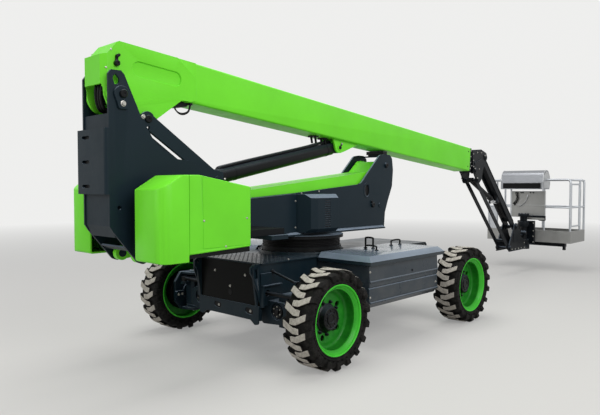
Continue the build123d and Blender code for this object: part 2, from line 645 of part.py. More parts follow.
def boom_root():
    """Boxed rear end with two open side plates under it, which turn on the boom's pin."""
    half = BOOM_W / 2 + 8
    bx, bz = BOOM_PIN
    outline = [(-2320, bz - 50), (-2320, 2500), (-2273, 2510), (-2190, 2608), (-2174, 2615), (-1460, 2559),
               (-1455, 2240), (-1610, 2230), (-1870, 2042), (-2000, 2062), (bx, bz - 116), (bx - 90, bz - 92)]
    root = plate(outline, -half, half, {2: 20, 3: 40, 7: 60, 8: 90, 9: 60, 10: 60, 11: 60})
    for s in (-1, 1):
        root -= plan([(-2321, s * 115), (-2321, s * 150), (-2272, s * 150), (-2272, s * 143)], 1900, 2700)
        for x, z in ((-2003, 2428), (-1671, 2399)):
            root -= disc(x, z, 56, *span(s, half - 12, half + 1))
        root -= plate([(-2008, 2372), (-1676, 2343), (-1666, 2455), (-1998, 2484)], *span(s, half - 12, half + 1))
        doubler = [(-1658, 2562), (-1463, 2426), (-1459, 2242), (-1475, 2224), (-1632, 2236)]
        root += plate(doubler, *span(s, half - 1, half + 5), {0: 20, 1: 30, 3: 12, 4: 20})
    root -= box(-2305, -1600, 14 - BOOM_W / 2, BOOM_W / 2 - 14, 1900, 2290)
    return root


def build_boom():
    w = BOOM_W / 2
    section, hollow = rounded_tube(40, BOOM_TIP, BOOM_W, BOOM_H, BOOM_WALL, 18)
    boom = boom_plane() * section + boom_root() - boom_plane() * hollow
    bx, bz = BOOM_PIN
    boom += disc(bx, bz, 92, -w - 34, -w) + disc(bx, bz, 92, w, w + 34)
    boom -= disc(bx, bz, BOOM_PIN_R + PIN_GAP, -300, 300)
    fw, fh = FLY_W / 2, FLY_H / 2
    iw, ih = w - BOOM_WALL, BOOM_H / 2 - BOOM_WALL
    for s in (-1, 1):
        side_pad = box(BOOM_TIP - 150, BOOM_TIP - 20, *span(s, fw + PIN_GAP, iw + 2), -90, 90)
        flat_pad = box(BOOM_TIP - 150, BOOM_TIP - 20, -80, 80, *span(s, fh + PIN_GAP, ih + 2))
        boom += boom_plane() * (side_pad + flat_pad)
    ex, ez = BOOM_CYL_EYE

    def under(x):
        slope = math.radians(BOOM_SLOPE)
        return BOOM_AXIS_Z - (x - BOOM_AXIS_X) * math.tan(slope) - BOOM_H / 2 / math.cos(slope) - 0.2

    def lug(s):
        outline = [(ex - 108, under(ex - 108)), (ex + 330, under(ex + 330)), (ex + 95, ez - 36), (ex + 14, ez - 60),
                   (ex - 34, ez - 56), (ex - 68, ez - 26)]
        side = plate(outline, *span(s, 70, 90), {2: 40, 3: 30, 4: 30, 5: 40})
        return side - disc(ex, ez, BOOM_CYL_PIN_R + 0.3, *span(s, 60, 100))

    save("boom_outer", boom, *both_sides(lug), disc(ex, ez, BOOM_CYL_PIN_R, -96, 96))

    rear = FLY_TIP - FLY_LENGTH
    section, hollow = rounded_tube(rear, FLY_TIP, FLY_W, FLY_H, FLY_WALL, 16)
    fly = section - Pos(-22, 0, 0) * hollow
    for s in (-1, 1):
        fly += box(rear + 20, rear + 150, -80, 80, *span(s, fh - 2, ih - PIN_GAP))
    fly = boom_plane() * fly
    hx, hz = HEAD_PIN
    tip = [(3560, 1780), (3600, 2000), (3640, 1860), (hx + 40, hz + 34), (hx + 44, hz - 20), (hx, hz - 48),
           (hx - 60, hz - 30)]
    for s in (-1, 1):
        fly += plate(tip, *span(s, 56, 78), {3: 20, 4: 20, 5: 30})
    fly -= disc(hx, hz, JIB_PIN_R + PIN_GAP, -200, 200)
    save("boom_fly", fly)


# Jib

JIB_LINK_PIN = link_end(JIB_PIN, JIB_OFFSET)
FOOT_PIN = link_end(JIB_PIN, JIB_VECTOR)
FOOT_LINK_PIN = link_end(JIB_LINK_PIN, JIB_VECTOR)
JIB_CYL_PIN_R = 22.0
JIB_CYL_REACH = 900.0
JIB_CYL_DROP = 120.0


def jib_cyl_eye():
    length = math.hypot(*JIB_VECTOR)
    ux, uz = JIB_VECTOR[0] / length, JIB_VECTOR[1] / length
    return (JIB_PIN[0] + ux * JIB_CYL_REACH + uz * JIB_CYL_DROP, JIB_PIN[1] + uz * JIB_CYL_REACH - ux * JIB_CYL_DROP)


def bar_between(a, b, half, y0, y1):
    """A flat bar with round ends between two pins."""
    (ax, az), (bx, bz) = a, b
    length = math.hypot(bx - ax, bz - az)
    nx, nz = -(bz - az) / length * half, (bx - ax) / length * half
    bar = plate([(ax + nx, az + nz), (bx + nx, bz + nz), (bx - nx, bz - nz), (ax - nx, az - nz)], y0, y1)
    return bar + disc(ax, az, half, y0, y1) + disc(bx, bz, half, y0, y1)


def build_jib():
    hx, hz = HEAD_PIN
    head_out = [(3660, 2070), (3960, 2090), (4140, 2040), (4168, 1960), (4110, 1900), (4020, 1760), (3990, 1640),
                (3900, 1568), (3815, 1572), (3790, 1640), (hx - 40, hz - 46), (3700, 1740)]
    radii = {1: 60, 2: 40, 3: 40, 5: 120, 6: 40, 7: 30, 8: 30}

    def cheek(s):
        side = plate(head_out, *span(s, 98, 116), radii)
        for pin, r in ((HEAD_PIN, JIB_PIN_R), (JIB_PIN, JIB_PIN_R), (JIB_LINK_PIN, JIB_CYL_PIN_R)):
            side -= disc(*pin, r + 0.3, *span(s, 90, 120))
        return side

    spacer = box(3900, 3930, -97.8, 97.8, 1960, 2060)
    pins = [disc(*HEAD_PIN, JIB_PIN_R, -126, 126), disc(*JIB_PIN, JIB_PIN_R, -126, 126),
            disc(*JIB_LINK_PIN, JIB_CYL_PIN_R, -126, 126)]
    save("jib_head", *both_sides(cheek), spacer, *pins)

    upper = None
    for s in (-1, 1):
        bar = bar_between(JIB_PIN, FOOT_PIN, 56, *span(s, 46, 67))
        upper = bar if upper is None else upper + bar
    length = math.hypot(*JIB_VECTOR)
    jib_plane = Pos(JIB_PIN[0], 0, JIB_PIN[1]) * Rot(0, math.degrees(math.atan2(-JIB_VECTOR[1], JIB_VECTOR[0])), 0)
    upper += jib_plane * box(150, length - 150, -47, 47, -20, 56)
    ex, ez = jib_cyl_eye()
    for s in (-1, 1):
        lug_local = [(JIB_CYL_REACH - 60, -30), (JIB_CYL_REACH + 60, -30), (JIB_CYL_REACH + 26, -JIB_CYL_DROP - 22),
                     (JIB_CYL_REACH - 26, -JIB_CYL_DROP - 22)]
        upper += jib_plane * plate(lug_local, *span(s, 52, 66))
        upper += disc(ex, ez, JIB_CYL_PIN_R, *span(s, 47, 67))
    for pin in (JIB_PIN, FOOT_PIN):
        upper -= disc(*pin, JIB_PIN_R + PIN_GAP, -150, 150)
    save("jib_upper_link", upper)

    lower = bar_between(JIB_LINK_PIN, FOOT_LINK_PIN, 36, -90, -74) + bar_between(JIB_LINK_PIN, FOOT_LINK_PIN, 36, 74, 90)
    lower += jib_link_tie(0.88)
    for pin in (JIB_LINK_PIN, FOOT_LINK_PIN):
        lower -= disc(*pin, JIB_CYL_PIN_R + PIN_GAP, -150, 150)
    save("jib_lower_link", lower)

    foot_out = [(FOOT_PIN[0] - 60, FOOT_PIN[1] + 40), (FOOT_PIN[0] + 10, FOOT_PIN[1] + 66),
                (FOOT_PIN[0] + 90, FOOT_PIN[1] + 20), (5560, 640), (5740, 560), (5740, 420),
                (FOOT_LINK_PIN[0] - 30, 420), (FOOT_LINK_PIN[0] - 52, FOOT_LINK_PIN[1]),
                (FOOT_LINK_PIN[0] - 20, FOOT_LINK_PIN[1] + 60)]

    def foot_cheek(s):
        side = plate(foot_out, *span(s, 96, 112), {0: 40, 1: 40, 2: 40, 6: 20, 7: 30})
        for pin, r in ((FOOT_PIN, JIB_PIN_R), (FOOT_LINK_PIN, JIB_CYL_PIN_R)):
            side -= disc(*pin, r + 0.3, *span(s, 90, 120))
        return side

    cross = box(5640, 5660, -95.8, 95.8, 440, 560) + box(5640, ROTATOR_X, -95.8, 95.8, 420, 440)
    cross += post(ROTATOR_X, 0, ROTATOR_R, 400, 470)
    cross += post(ROTATOR_X, 0, 62, 470, 985)
    cross += post(ROTATOR_X, 0, ROTATOR_R - 10, 985, 1030)
    pins = [disc(*FOOT_PIN, JIB_PIN_R, -122, 122), disc(*FOOT_LINK_PIN, JIB_CYL_PIN_R, -122, 122)]
    save("jib_foot", cross, *both_sides(foot_cheek), *pins)


def jib_link_tie(f):
    """Cross tube between the two bars of the lower link, hung under them."""
    x = JIB_LINK_PIN[0] + JIB_VECTOR[0] * f
    z = JIB_LINK_PIN[1] + JIB_VECTOR[1] * f
    return disc(x, z, 24, -75, 75)


# Platform

RAIL_TOP = FLOOR_Z + RAIL_HEIGHT - RAIL_R
RAIL_FOOT = FLOOR_Z + TOE_BOARD_H + 0.3
RAIL_X0 = PLATFORM_X0 + RAIL_R
RAIL_X1 = PLATFORM_X0 + PLATFORM_DEPTH
RAIL_Y = PLATFORM_HALF_W - RAIL_R
SIDE_RAIL_Z = RAIL_TOP - 12
GATE_X0 = RAIL_X0 + RAIL_R + GATE_TUBE_R + 8
GATE_X1 = PLATFORM_X0 + GATE_POST_X - 36


def end_hoop(x, r):
    """One bent tube: a corner post, the top rail and the other corner post."""
    corners = [(x, -RAIL_Y, RAIL_FOOT), (x, -RAIL_Y, RAIL_TOP), (x, RAIL_Y, RAIL_TOP), (x, RAIL_Y, RAIL_FOOT)]
    return bent_tube(corners, r, bend=RAIL_BEND_R)


def build_rails():
    mid = FLOOR_Z + MID_RAIL_Z
    hoops = []
    for x, posts in ((RAIL_X0, (-296, 310)), (RAIL_X1, (0,))):
        hoop = end_hoop(x, RAIL_R)
        hoop += tube_between((x, -RAIL_Y, mid), (x, RAIL_Y, mid), MID_RAIL_R)
        for y in posts:
            hoop += post(x, y, MID_RAIL_R, RAIL_FOOT, RAIL_TOP)
        hoops.append(hoop)
    hoops[0] += box(RAIL_X0 - 3, RAIL_X0 + 3, 590, RAIL_Y, RAIL_FOOT, mid)
    gate_post_x = PLATFORM_X0 + GATE_POST_X
    left = tube_between((RAIL_X0, RAIL_Y, SIDE_RAIL_Z), (RAIL_X1, RAIL_Y, SIDE_RAIL_Z), MID_RAIL_R)
    left += tube_between((RAIL_X0, RAIL_Y, mid), (RAIL_X1, RAIL_Y, mid), MID_RAIL_R)
    left += post((RAIL_X0 + RAIL_X1) / 2, RAIL_Y, MID_RAIL_R, RAIL_FOOT, SIDE_RAIL_Z)
    right = tube_between((RAIL_X0, -RAIL_Y, SIDE_RAIL_Z), (RAIL_X1, -RAIL_Y, SIDE_RAIL_Z), MID_RAIL_R)
    right += tube_between((gate_post_x, -RAIL_Y, mid), (RAIL_X1, -RAIL_Y, mid), MID_RAIL_R)
    right += post(gate_post_x, -RAIL_Y, MID_RAIL_R + 2, RAIL_FOOT, SIDE_RAIL_Z)
    for z0, d in ((RAIL_TOP - 68, -1), (FLOOR_Z + 237.5, 1)):
        right += box(GATE_X1 - 12, gate_post_x, -RAIL_Y - 10, 10 - RAIL_Y, z0, z0 + 8)
        right += post(GATE_X1, -RAIL_Y, GATE_PIN_R, min(z0, z0 + 8 + d * 30), max(z0 + 8, z0 + d * 30))
    for x in (RAIL_X0, RAIL_X1):
        cut = end_hoop(x, RAIL_R + 0.2)
        left -= cut
        right -= cut
    sides = [max(side.solids(), key=lambda solid: solid.volume) for side in (left, right)]
    save("platform_rails", *hoops, *sides)


def build_gate():
    top = RAIL_TOP - 83
    gate = None
    for z in (FLOOR_Z + 260, FLOOR_Z + MID_RAIL_Z, top):
        bar = tube_between((GATE_X0, -RAIL_Y, z), (GATE_X1, -RAIL_Y, z), GATE_TUBE_R)
        gate = bar if gate is None else gate + bar
    for x in (GATE_X0, GATE_X1):
        gate += post(x, -RAIL_Y, GATE_TUBE_R, FLOOR_Z + 246, top + 14)
    gate -= post(GATE_X1, -RAIL_Y, GATE_PIN_R + PIN_GAP, FLOOR_Z + 240, FLOOR_Z + 278)
    gate -= post(GATE_X1, -RAIL_Y, GATE_PIN_R + PIN_GAP, top - 20, top + 20)
    save("platform_gate", gate)


def build_platform():
    x0, x1 = PLATFORM_X0, PLATFORM_X0 + PLATFORM_DEPTH
    y = PLATFORM_HALF_W
    t = 4.0
    tray = box(x0, x1, -y, y, FLOOR_Z - 40, FLOOR_Z + TOE_BOARD_H)
    tray -= box(x0 + t, x1 - t, -y + t, y - t, FLOOR_Z - 41, FLOOR_Z - 30)
    tray -= box(x0 + t, x1 - t, -y + t, y - t, FLOOR_Z, FLOOR_Z + TOE_BOARD_H + 1)
    rim = box(x0 + t, x1 - t, -y + t, y - t, FLOOR_Z + TOE_BOARD_H - 5, FLOOR_Z + TOE_BOARD_H)
    rim -= box(x0 + 34, x1 - 34, -y + 34, y - 34, FLOOR_Z + TOE_BOARD_H - 6, FLOOR_Z + TOE_BOARD_H + 1)
    save("platform_tray", tray + rim)
    build_rails()
    build_gate()

    mount = box(ROTATOR_X + ROTATOR_R + 6, x0 - 8, -150, 150, 480, 900)
    for z0 in (480, 800):
        arm = box(ROTATOR_X, ROTATOR_X + ROTATOR_R + 20, -70, 70, z0, z0 + 90) + post(ROTATOR_X, 0, 92, z0, z0 + 90)
        mount += arm
    mount -= post(ROTATOR_X, 0, 62 + PIN_GAP, 400, 1100)
    mount += box(x0 - 8.5, x0 + 520, -60, 60, 462, FLOOR_Z - 40.3)
    mount += box(x0 + 200, x0 + 290, -600, 600, 440, FLOOR_Z - 40.3)
    for s in (-1, 1):
        mount += box(x0 + 200, x0 + 260, *sorted((s * 560, s * 600)), 380, 441)
    save("platform_mount", mount)

    hood_out = [(x0 - 150, 1470), (x0 - 150, 1600), (x0 - 110, 1760), (x0 - 20, 1815), (x0 + 90, 1800),
                (x0 + 170, 1700), (x0 + 190, 1560), (x0 + 150, 1470)]
    profile = outline_face(hood_out, {1: 90, 2: 90, 3: 70, 4: 90, 5: 120, 6: 90})
    hood = Pos(0, 440, 0) * Rot(90, 0, 0) * extrude(profile, 770)
    hood -= Pos(0, 432, 0) * Rot(90, 0, 0) * extrude(offset(profile, amount=-6), 754)
    hood -= box(x0 - 143, x0 + 143, -322, 432, 1400, 1500)
    hood -= box(x0 - 160, x0 - 130, -290, 400, 1484, 1582)
    hood -= tube_between((RAIL_X0, -400, RAIL_TOP), (RAIL_X0, 500, RAIL_TOP), RAIL_R + PIN_GAP)
    save("control_hood", hood)
    panel = box(x0 - 12, x0 + 3.7, -325, 290, 958, 1440)
    panel += box(x0 - 60, x0 + 3.7, -330, 60, 920, 960)
    save("control_panel", panel)


# Assembly

def main():
    os.makedirs("parts", exist_ok=True)
    build_wheels()
    build_axles()
    build_chassis()
    build_turntable()
    build_tail()
    build_riser()
    cylinder_pair("riser_cylinder", RISER_CYL_BASE, RISER_CYL_EYE, 46, 26, RISER_CYL_PIN_R, 44, 520, cover=0.88)
    build_upright()
    build_boom()
    cylinder_pair("boom_cylinder", BOOM_CYL_EYE, BOOM_CYL_BASE, 60, 34, BOOM_CYL_PIN_R, 56, 1290, cover=0.93)
    build_jib()
    cylinder_pair("jib_cylinder", JIB_LINK_PIN, jib_cyl_eye(), 36, 20, JIB_CYL_PIN_R, 42, 530, 0.85, retract=110)
    build_platform()


main()
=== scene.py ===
import math

import bmesh
import bpy
from mathutils import Matrix, Vector
from mathutils.bvhtree import BVHTree


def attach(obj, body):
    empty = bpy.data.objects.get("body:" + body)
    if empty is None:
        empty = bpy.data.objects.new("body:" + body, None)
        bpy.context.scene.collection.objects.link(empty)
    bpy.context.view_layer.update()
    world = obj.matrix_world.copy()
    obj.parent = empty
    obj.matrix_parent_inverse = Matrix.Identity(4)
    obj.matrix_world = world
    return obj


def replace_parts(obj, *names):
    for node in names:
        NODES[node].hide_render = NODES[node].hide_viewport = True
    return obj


# Articulating boom lift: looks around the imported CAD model.
# Metres. Lengths along X in this file are measured from the slewing axis; SLEW_X moves them
# to the part's origin, as in the CAD source. +X is the platform end, +Y the left side.

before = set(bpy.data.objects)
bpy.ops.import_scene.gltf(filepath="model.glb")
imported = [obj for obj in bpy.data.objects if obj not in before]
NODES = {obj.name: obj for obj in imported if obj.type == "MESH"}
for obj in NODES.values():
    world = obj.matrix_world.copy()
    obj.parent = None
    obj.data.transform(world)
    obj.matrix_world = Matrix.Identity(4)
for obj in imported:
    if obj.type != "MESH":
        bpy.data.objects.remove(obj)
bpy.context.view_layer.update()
SLEW_X = -2.2685
AT_SLEW = (SLEW_X, 0.0, 0.0)
SIDES = (-1, 1)
ABOVE, BEHIND, ALONG_Y = (0.0, 0.0, 1.0), (-1.0, 0.0, 0.0), (0.0, 1.0, 0.0)
scene = bpy.context.scene


# ---------------------------------------------------------------- materials

class Shader:
    """The node tree of a material or a world, with short calls for the nodes used here."""

    def __init__(self, owner):
        self.owner = owner
        owner.use_nodes = True
        self.tree = owner.node_tree
        self.tree.nodes.clear()
        self.coord = self.node("ShaderNodeTexCoord").outputs["Object"]

    def put(self, socket, value):
        if isinstance(value, bpy.types.NodeSocket):
            self.tree.links.new(value, socket)
        else:
            socket.default_value = value

    def node(self, kind, inputs=None, **settings):
        n = self.tree.nodes.new(kind)
        for key, value in settings.items():
            setattr(n, key, value)
        for key, value in (inputs or {}).items():
            self.put(n.inputs[key], value)
        return n

    def noise(self, scale, detail=3.0, rough=0.55, vector=None):
        inputs = {"Vector": vector or self.coord, "Scale": scale, "Detail": detail, "Roughness": rough}
        return self.node("ShaderNodeTexNoise", inputs).outputs[0]

    def span(self, value, lo, hi, to_lo=0.0, to_hi=1.0):
        inputs = {"Value": value, "From Min": lo, "From Max": hi, "To Min": to_lo, "To Max": to_hi}
        return self.node("ShaderNodeMapRange", inputs).outputs[0]

    def math(self, operation, a, b=0.0):
        return self.node("ShaderNodeMath", {0: a, 1: b}, operation=operation).outputs[0]

    def times(self, value, *others):
        for other in others:
            value = self.math("MULTIPLY", value, other)
        return value

    def length(self, vector):
        return self.node("ShaderNodeVectorMath", {0: vector}, operation="LENGTH").outputs["Value"]

    def mix(self, factor, a, b):
        return self.node("ShaderNodeMix", {0: factor, 6: a, 7: b}, data_type="RGBA").outputs[2]

    def part(self, axis, vector=None):
        return self.node("ShaderNodeSeparateXYZ", {0: vector or self.coord}).outputs["XYZ".index(axis)]

    def upward(self):
        """How far the surface looks up, in the object's own frame."""
        return self.part("Z", self.node("ShaderNodeTexCoord").outputs["Normal"])

    def bump(self, height, strength, distance, under=None):
        inputs = {"Height": height, "Strength": strength, "Distance": distance}
        if under is not None:
            inputs["Normal"] = under
        return self.node("ShaderNodeBump", inputs).outputs[0]

    def surface(self, specular=0.5, **inputs):
        n = self.node("ShaderNodeBsdfPrincipled", {"Specular IOR Level": specular})
        for key, value in inputs.items():
            self.put(n.inputs[key.replace("_", " ")], value)
        return self.output(n.outputs[0])

    def output(self, value, kind="ShaderNodeOutputMaterial"):
        self.node(kind, {"Surface": value})
        return self.owner

    def seen(self):
        """1 where the camera or a mirror looks, for backdrops that light differently than they look."""
        rays = self.node("ShaderNodeLightPath").outputs
        return self.math("MAXIMUM", rays["Is Camera Ray"], rays["Is Glossy Ray"])


def material(name):
    return Shader(bpy.data.materials.new(name))


def tone(colour, k=1.0):
    return tuple(c * k for c in colour) + (1.0,)


def paint(name, colour, rough=0.34, coat=0.4, peel=0.06, dust=0.0, specular=0.22, painted_light=0.0):
    """Sprayed paint: faint tone drift, orange peel, uneven gloss, dust low down, and a painted
    reflection of a pale bluish sky on faces that look up, broken into streaks."""
    s = material(name)
    base = s.mix(s.span(s.noise(1.6, 4.0), 0.3, 0.7), tone(colour, 0.92), tone(colour, 1.06))
    settled = s.noise(5.0, 6.0, 0.65)
    if painted_light:
        # painted reflection: a pale bluish sky colour mixed into faces that look up, less on the flattest tops, in
        # streaks
        up = s.span(s.upward(), 0.3, 0.85)
        flat = s.span(s.upward(), 0.93, 0.995, 1.0, 0.55)
        streaks = s.span(s.noise(2.2, 5.0, 0.6), 0.3, 0.72, 0.62, 1.0)
        base = s.mix(s.times(up, flat, streaks, painted_light), base, tone((0.27, 0.33, 0.41)))
    if dust:
        low = s.span(s.part("Z"), 1.3, 0.2)
        base = s.mix(s.times(low, s.span(settled, 0.42, 0.72), dust), base, tone((0.3, 0.27, 0.23)))
    gloss = s.span(settled, 0.3, 0.75, rough - 0.05, rough + 0.1)
    wave = s.bump(s.noise(2.6, 1.0), 0.1, 0.01)
    grain = s.bump(s.noise(330.0, 2.0), peel, 0.0012, wave)
    return s.surface(specular, Base_Color=base, Roughness=gloss, Coat_Weight=coat, Coat_Roughness=0.12, Normal=grain)


def rim_paint():
    """Wheel paint on a rim whose centre is the object's origin: painted shade, with some brake dust,
    darkens the deep barrel and the disc, and the rolled flange stays clean."""
    s = material("lime_rim_paint")
    side = s.math("ABSOLUTE", s.part("Y"))
    # noise that lightens the painted shade in patches and varies the gloss
    painted_light = s.noise(14.0, 5.0, 0.62)
    # painted shade: darker the deeper into the barrel, mixed towards the dark green below
    deep = s.math("SUBTRACT", s.span(side, 0.124, 0.062), s.span(painted_light, 0.3, 0.75, 0.0, 0.22))
    base = s.mix(s.span(s.noise(2.0, 3.0), 0.3, 0.7), tone((0.05, 0.5, 0.03)), tone((0.065, 0.56, 0.038)))
    base = s.mix(s.span(deep, 0.0, 1.0), base, tone((0.01, 0.15, 0.012)))
    gloss = s.span(painted_light, 0.3, 0.75, 0.26, 0.46)
    grain = s.bump(s.noise(330.0, 2.0), 0.06, 0.0012)
    return s.surface(0.14, Base_Color=base, Roughness=gloss, Coat_Weight=0.04, Coat_Roughness=0.12, Normal=grain)


def brushed(name, colour, rough=0.36, metallic=1.0, lines=(4.0, 4.0, 260.0), spots=0.15):
    """Drawn or brushed metal: fine lines one way, cloudy oxide patches."""
    s = material(name)
    cloud = s.noise(3.1, 6.0, 0.62)
    base = s.mix(s.span(cloud, 0.3, 0.72), tone(colour, 1.0 - spots), tone(colour, 1.05))
    stretched = s.node("ShaderNodeMapping", {"Vector": s.coord, "Scale": lines}).outputs[0]
    hair = s.noise(1.0, 3.0, 0.6, stretched)
    gloss = s.math("ADD", s.span(cloud, 0.3, 0.7, rough - 0.05, rough + 0.08), s.span(hair, 0.3, 0.7, -0.04, 0.05))
    grain = s.bump(hair, 0.12, 0.001, s.bump(s.noise(7.0, 2.0), 0.08, 0.003))
    return s.surface(Base_Color=base, Metallic=metallic, Roughness=gloss, Normal=grain)


def galvanised(name, colour, rough=0.42):
    """Zinc-coated tube and sheet with its crystal pattern."""
    s = material(name)
    flake = s.node("ShaderNodeTexVoronoi", {"Vector": s.coord, "Scale": 55.0}, feature="F1").outputs["Distance"]
    shade = s.math("ADD", s.span(flake, 0.0, 0.6, 0.0, 0.5), s.span(s.noise(2.4, 5.0), 0.3, 0.7, 0.0, 0.5))
    base = s.mix(shade, tone(colour, 0.84), tone(colour, 1.08))
    gloss = s.span(flake, 0.0, 0.6, rough - 0.07, rough + 0.07)
    return s.surface(Base_Color=base, Metallic=0.85, Roughness=gloss, Normal=s.bump(flake, 0.08, 0.0008))


def moulded(name, colour, rough=0.55, scale=420.0, strength=0.12):
    """Black plastic or rubber with a fine moulded grain and a little dust."""
    s = material(name)
    dusty = s.noise(9.0, 5.0, 0.6)
    base = s.mix(s.span(dusty, 0.45, 0.8), tone(colour), tone(colour, 1.9))
    gloss = s.span(dusty, 0.3, 0.7, rough - 0.06, rough + 0.1)
    return s.surface(0.14, Base_Color=base, Roughness=gloss, Normal=s.bump(s.noise(scale, 2.0), strength, 0.0008))


def tyre_rubber():
    """Rubber of a wheel whose centre is the object's origin: pale scuffed dust on the tread bars'
    faces, dark walls with dust settled in patches."""
    s = material("tyre_rubber")
    radius = s.length(s.node("ShaderNodeCombineXYZ", {0: s.part("X"), 2: s.part("Z")}).outputs[0])
    scuff, broad = s.noise(42.0, 6.0, 0.7), s.noise(9.0, 4.0, 0.6)
    face = s.mix(s.span(scuff, 0.32, 0.68), tone((0.27, 0.248, 0.218)), tone((0.5, 0.465, 0.415)))
    face = s.mix(s.span(broad, 0.62, 0.78), face, tone((0.2, 0.185, 0.165)))
    patches = s.span(s.math("ADD", scuff, broad), 0.92, 1.35)
    wall = s.mix(patches, tone((0.004, 0.0038, 0.0036)), tone((0.022, 0.02, 0.018)))
    worn = s.times(s.span(radius, 0.4145, 0.4185), s.span(scuff, 0.16, 0.3))
    gloss = s.span(worn, 0.0, 1.0, 0.62, 0.92)
    grain = s.bump(s.noise(300.0, 3.0), 0.25, 0.0012, s.bump(scuff, 0.25, 0.002))
    return s.surface(0.1, Base_Color=s.mix(worn, wall, face), Roughness=gloss, Normal=grain)


LIME = (0.158, 0.69, 0.026)
SLATE = (0.007, 0.016, 0.023)
INK = (0.0026, 0.003, 0.0036)

# painted_light: strength of the painted sky reflection on faces that look up
M = {
    "lime": paint("lime_paint", LIME, 0.4, 0.05, specular=0.18),
    "lime_rim": rim_paint(),
    "slate": paint("slate_paint", SLATE, 0.42, 0.02, dust=0.03, painted_light=0.85, specular=0.13),
    "frame": paint("frame_paint", SLATE, 0.32, 0.08, dust=0.04, painted_light=0.12, specular=0.13),
    "lid": paint("lid_gloss", SLATE, 0.22, 0.35, peel=0.03, dust=0.06, painted_light=0.8, specular=0.2),
    "box": paint("box_gloss", (0.02, 0.03, 0.04), 0.3, 0.25, dust=0.12, painted_light=0.7, specular=0.2),
    "deck": paint("deck_gloss", INK, 0.2, 0.22, dust=0.06, painted_light=0.08, specular=0.1),
    "end": paint("end_black", (0.003, 0.0032, 0.003), 0.36, 0.0, specular=0.06),
    "black": paint("black_paint", INK, 0.34, 0.04, dust=0.03, painted_light=0.15, specular=0.14),
    "jib": paint("jib_paint", (0.004, 0.0058, 0.008), 0.4, 0.02, painted_light=0.5, specular=0.12),
    "cast": paint("cast_iron", (0.005, 0.0062, 0.0072), 0.55, 0.0, peel=0.25, dust=0.03, specular=0.1),
    "rubber": tyre_rubber(),
    "hose": moulded("hose_rubber", (0.003, 0.003, 0.0034), 0.44, 700.0, 0.1),
    "plastic": moulded("black_plastic", (0.0022, 0.0024, 0.0028), 0.46),
    "alu": brushed("drawn_aluminium", (0.52, 0.53, 0.54), 0.4),
    "sheet": brushed("aluminium_sheet", (0.31, 0.31, 0.3), 0.46, 0.8, (90.0, 3.0, 3.0)),
    "hood": brushed("silver_sheet", (0.29, 0.3, 0.32), 0.32, 0.8, (3.0, 60.0, 3.0), 0.07),
    "tube": galvanised("zinc_tube", (0.5, 0.52, 0.55), 0.36),
    "zinc": galvanised("zinc_bolt", (0.4, 0.39, 0.36), 0.38),
    "chrome": brushed("chrome_rod", (0.62, 0.63, 0.65), 0.12, 1.0, (40.0, 40.0, 40.0), 0.03),
}

NODE_LOOK = {
    "lime": "riser_arm riser_link boom_outer cover_left cover_right wheel_rear_left wheel_rear_right "
            "wheel_front_left wheel_front_right",
    "slate": "steer_axle fixed_axle knuckle_left knuckle_right turntable_frame turret_panels swing_drive_box upright "
             "upright_braces upright_rear_box",
    "frame": "chassis_frame",
    "jib": "jib_head jib_upper_link jib_lower_link jib_foot platform_mount boom_fly",
    "lid": "box_lids",
    "box": "side_boxes",
    "black": "slew_ring boom_rest steer_cylinder riser_cylinder_barrel boom_cylinder_barrel jib_cylinder_barrel "
             "steer_rod",
    "chrome": "riser_cylinder_rod boom_cylinder_rod jib_cylinder_rod",
    "cast": "counterweights",
    "rubber": "tyre_rear_left tyre_rear_right tyre_front_left tyre_front_right",
    "sheet": "platform_tray control_panel",
    "tube": "platform_rails platform_gate",
    "hood": "control_hood",
}
for look, names in NODE_LOOK.items():
    for node_name in names.split():
        mesh = NODES[node_name].data
        mesh.materials.clear()
        mesh.materials.append(M[look])


# ---------------------------------------------------------------- mesh helpers

def rounded(points, step=15.0, closed=False):
    """A 2-D line through (u, v) or (u, v, r) points, with an arc of radius r at those that give it."""
    out = []
    count = len(points)
    for i, p in enumerate(points):
        if len(p) > 2 and (closed or 0 < i < count - 1):
            out += arc_at(points[i - 1], p, points[(i + 1) % count], step)
        else:
            out.append(tuple(p[:2]))
    return out


def rounded_loop(points, step=15.0):
    return rounded(points, step, True)


def arc_at(before, p, after, step):
    corner = Vector(p[:2])
    a = (Vector(before[:2]) - corner).normalized()
    b = (Vector(after[:2]) - corner).normalized()
    half = a.angle(b) / 2
    if half > math.pi / 2 - 0.01:
        return [(p[0], p[1])]
    r = p[2]
    centre = corner + (a + b).normalized() * (r / math.sin(half))
    first = corner + a * (r / math.tan(half)) - centre
    last = corner + b * (r / math.tan(half)) - centre
    turn = first.angle_signed(last)
    count = max(2, math.ceil(abs(math.degrees(turn)) / step))
    start = math.atan2(first.y, first.x)
    return [(centre.x + r * math.cos(start - turn * k / count), centre.y + r * math.sin(start - turn * k / count))
            for k in range(count + 1)]


def mirrored_loop(half, centre=0.0):
    """A closed outline from one half, given by its distances from the centre line."""
    return [(centre + p[0],) + p[1:] for p in half] + [(centre - p[0],) + p[1:] for p in reversed(half)]


def circle(count, r, centre=(0.0, 0.0), start=0.0):
    """Points round a circle, the first one start steps past the u axis."""
    turns = [2 * math.pi * (k + start) / count for k in range(count)]
    return [(centre[0] + r * math.cos(a), centre[1] + r * math.sin(a)) for a in turns]


def stadium(p, q, r, count=14):
    """Outline of a slot with round ends between two points."""
    (px, pz), (qx, qz) = p, q
    a = math.atan2(qz - pz, qx - px)
    ends = []
    for (cx, cz), start in ((q, a - math.pi / 2), (p, a + math.pi / 2)):
        ends += [(cx + r * math.cos(start + math.pi * k / count), cz + r * math.sin(start + math.pi * k / count))
                 for k in range(count + 1)]
    return ends


def rect(u0, u1, v0, v1):
    return [(u0, v0), (u1, v0), (u1, v1), (u0, v1)]


def blank(count):
    return [bmesh.new() for _ in range(count)]


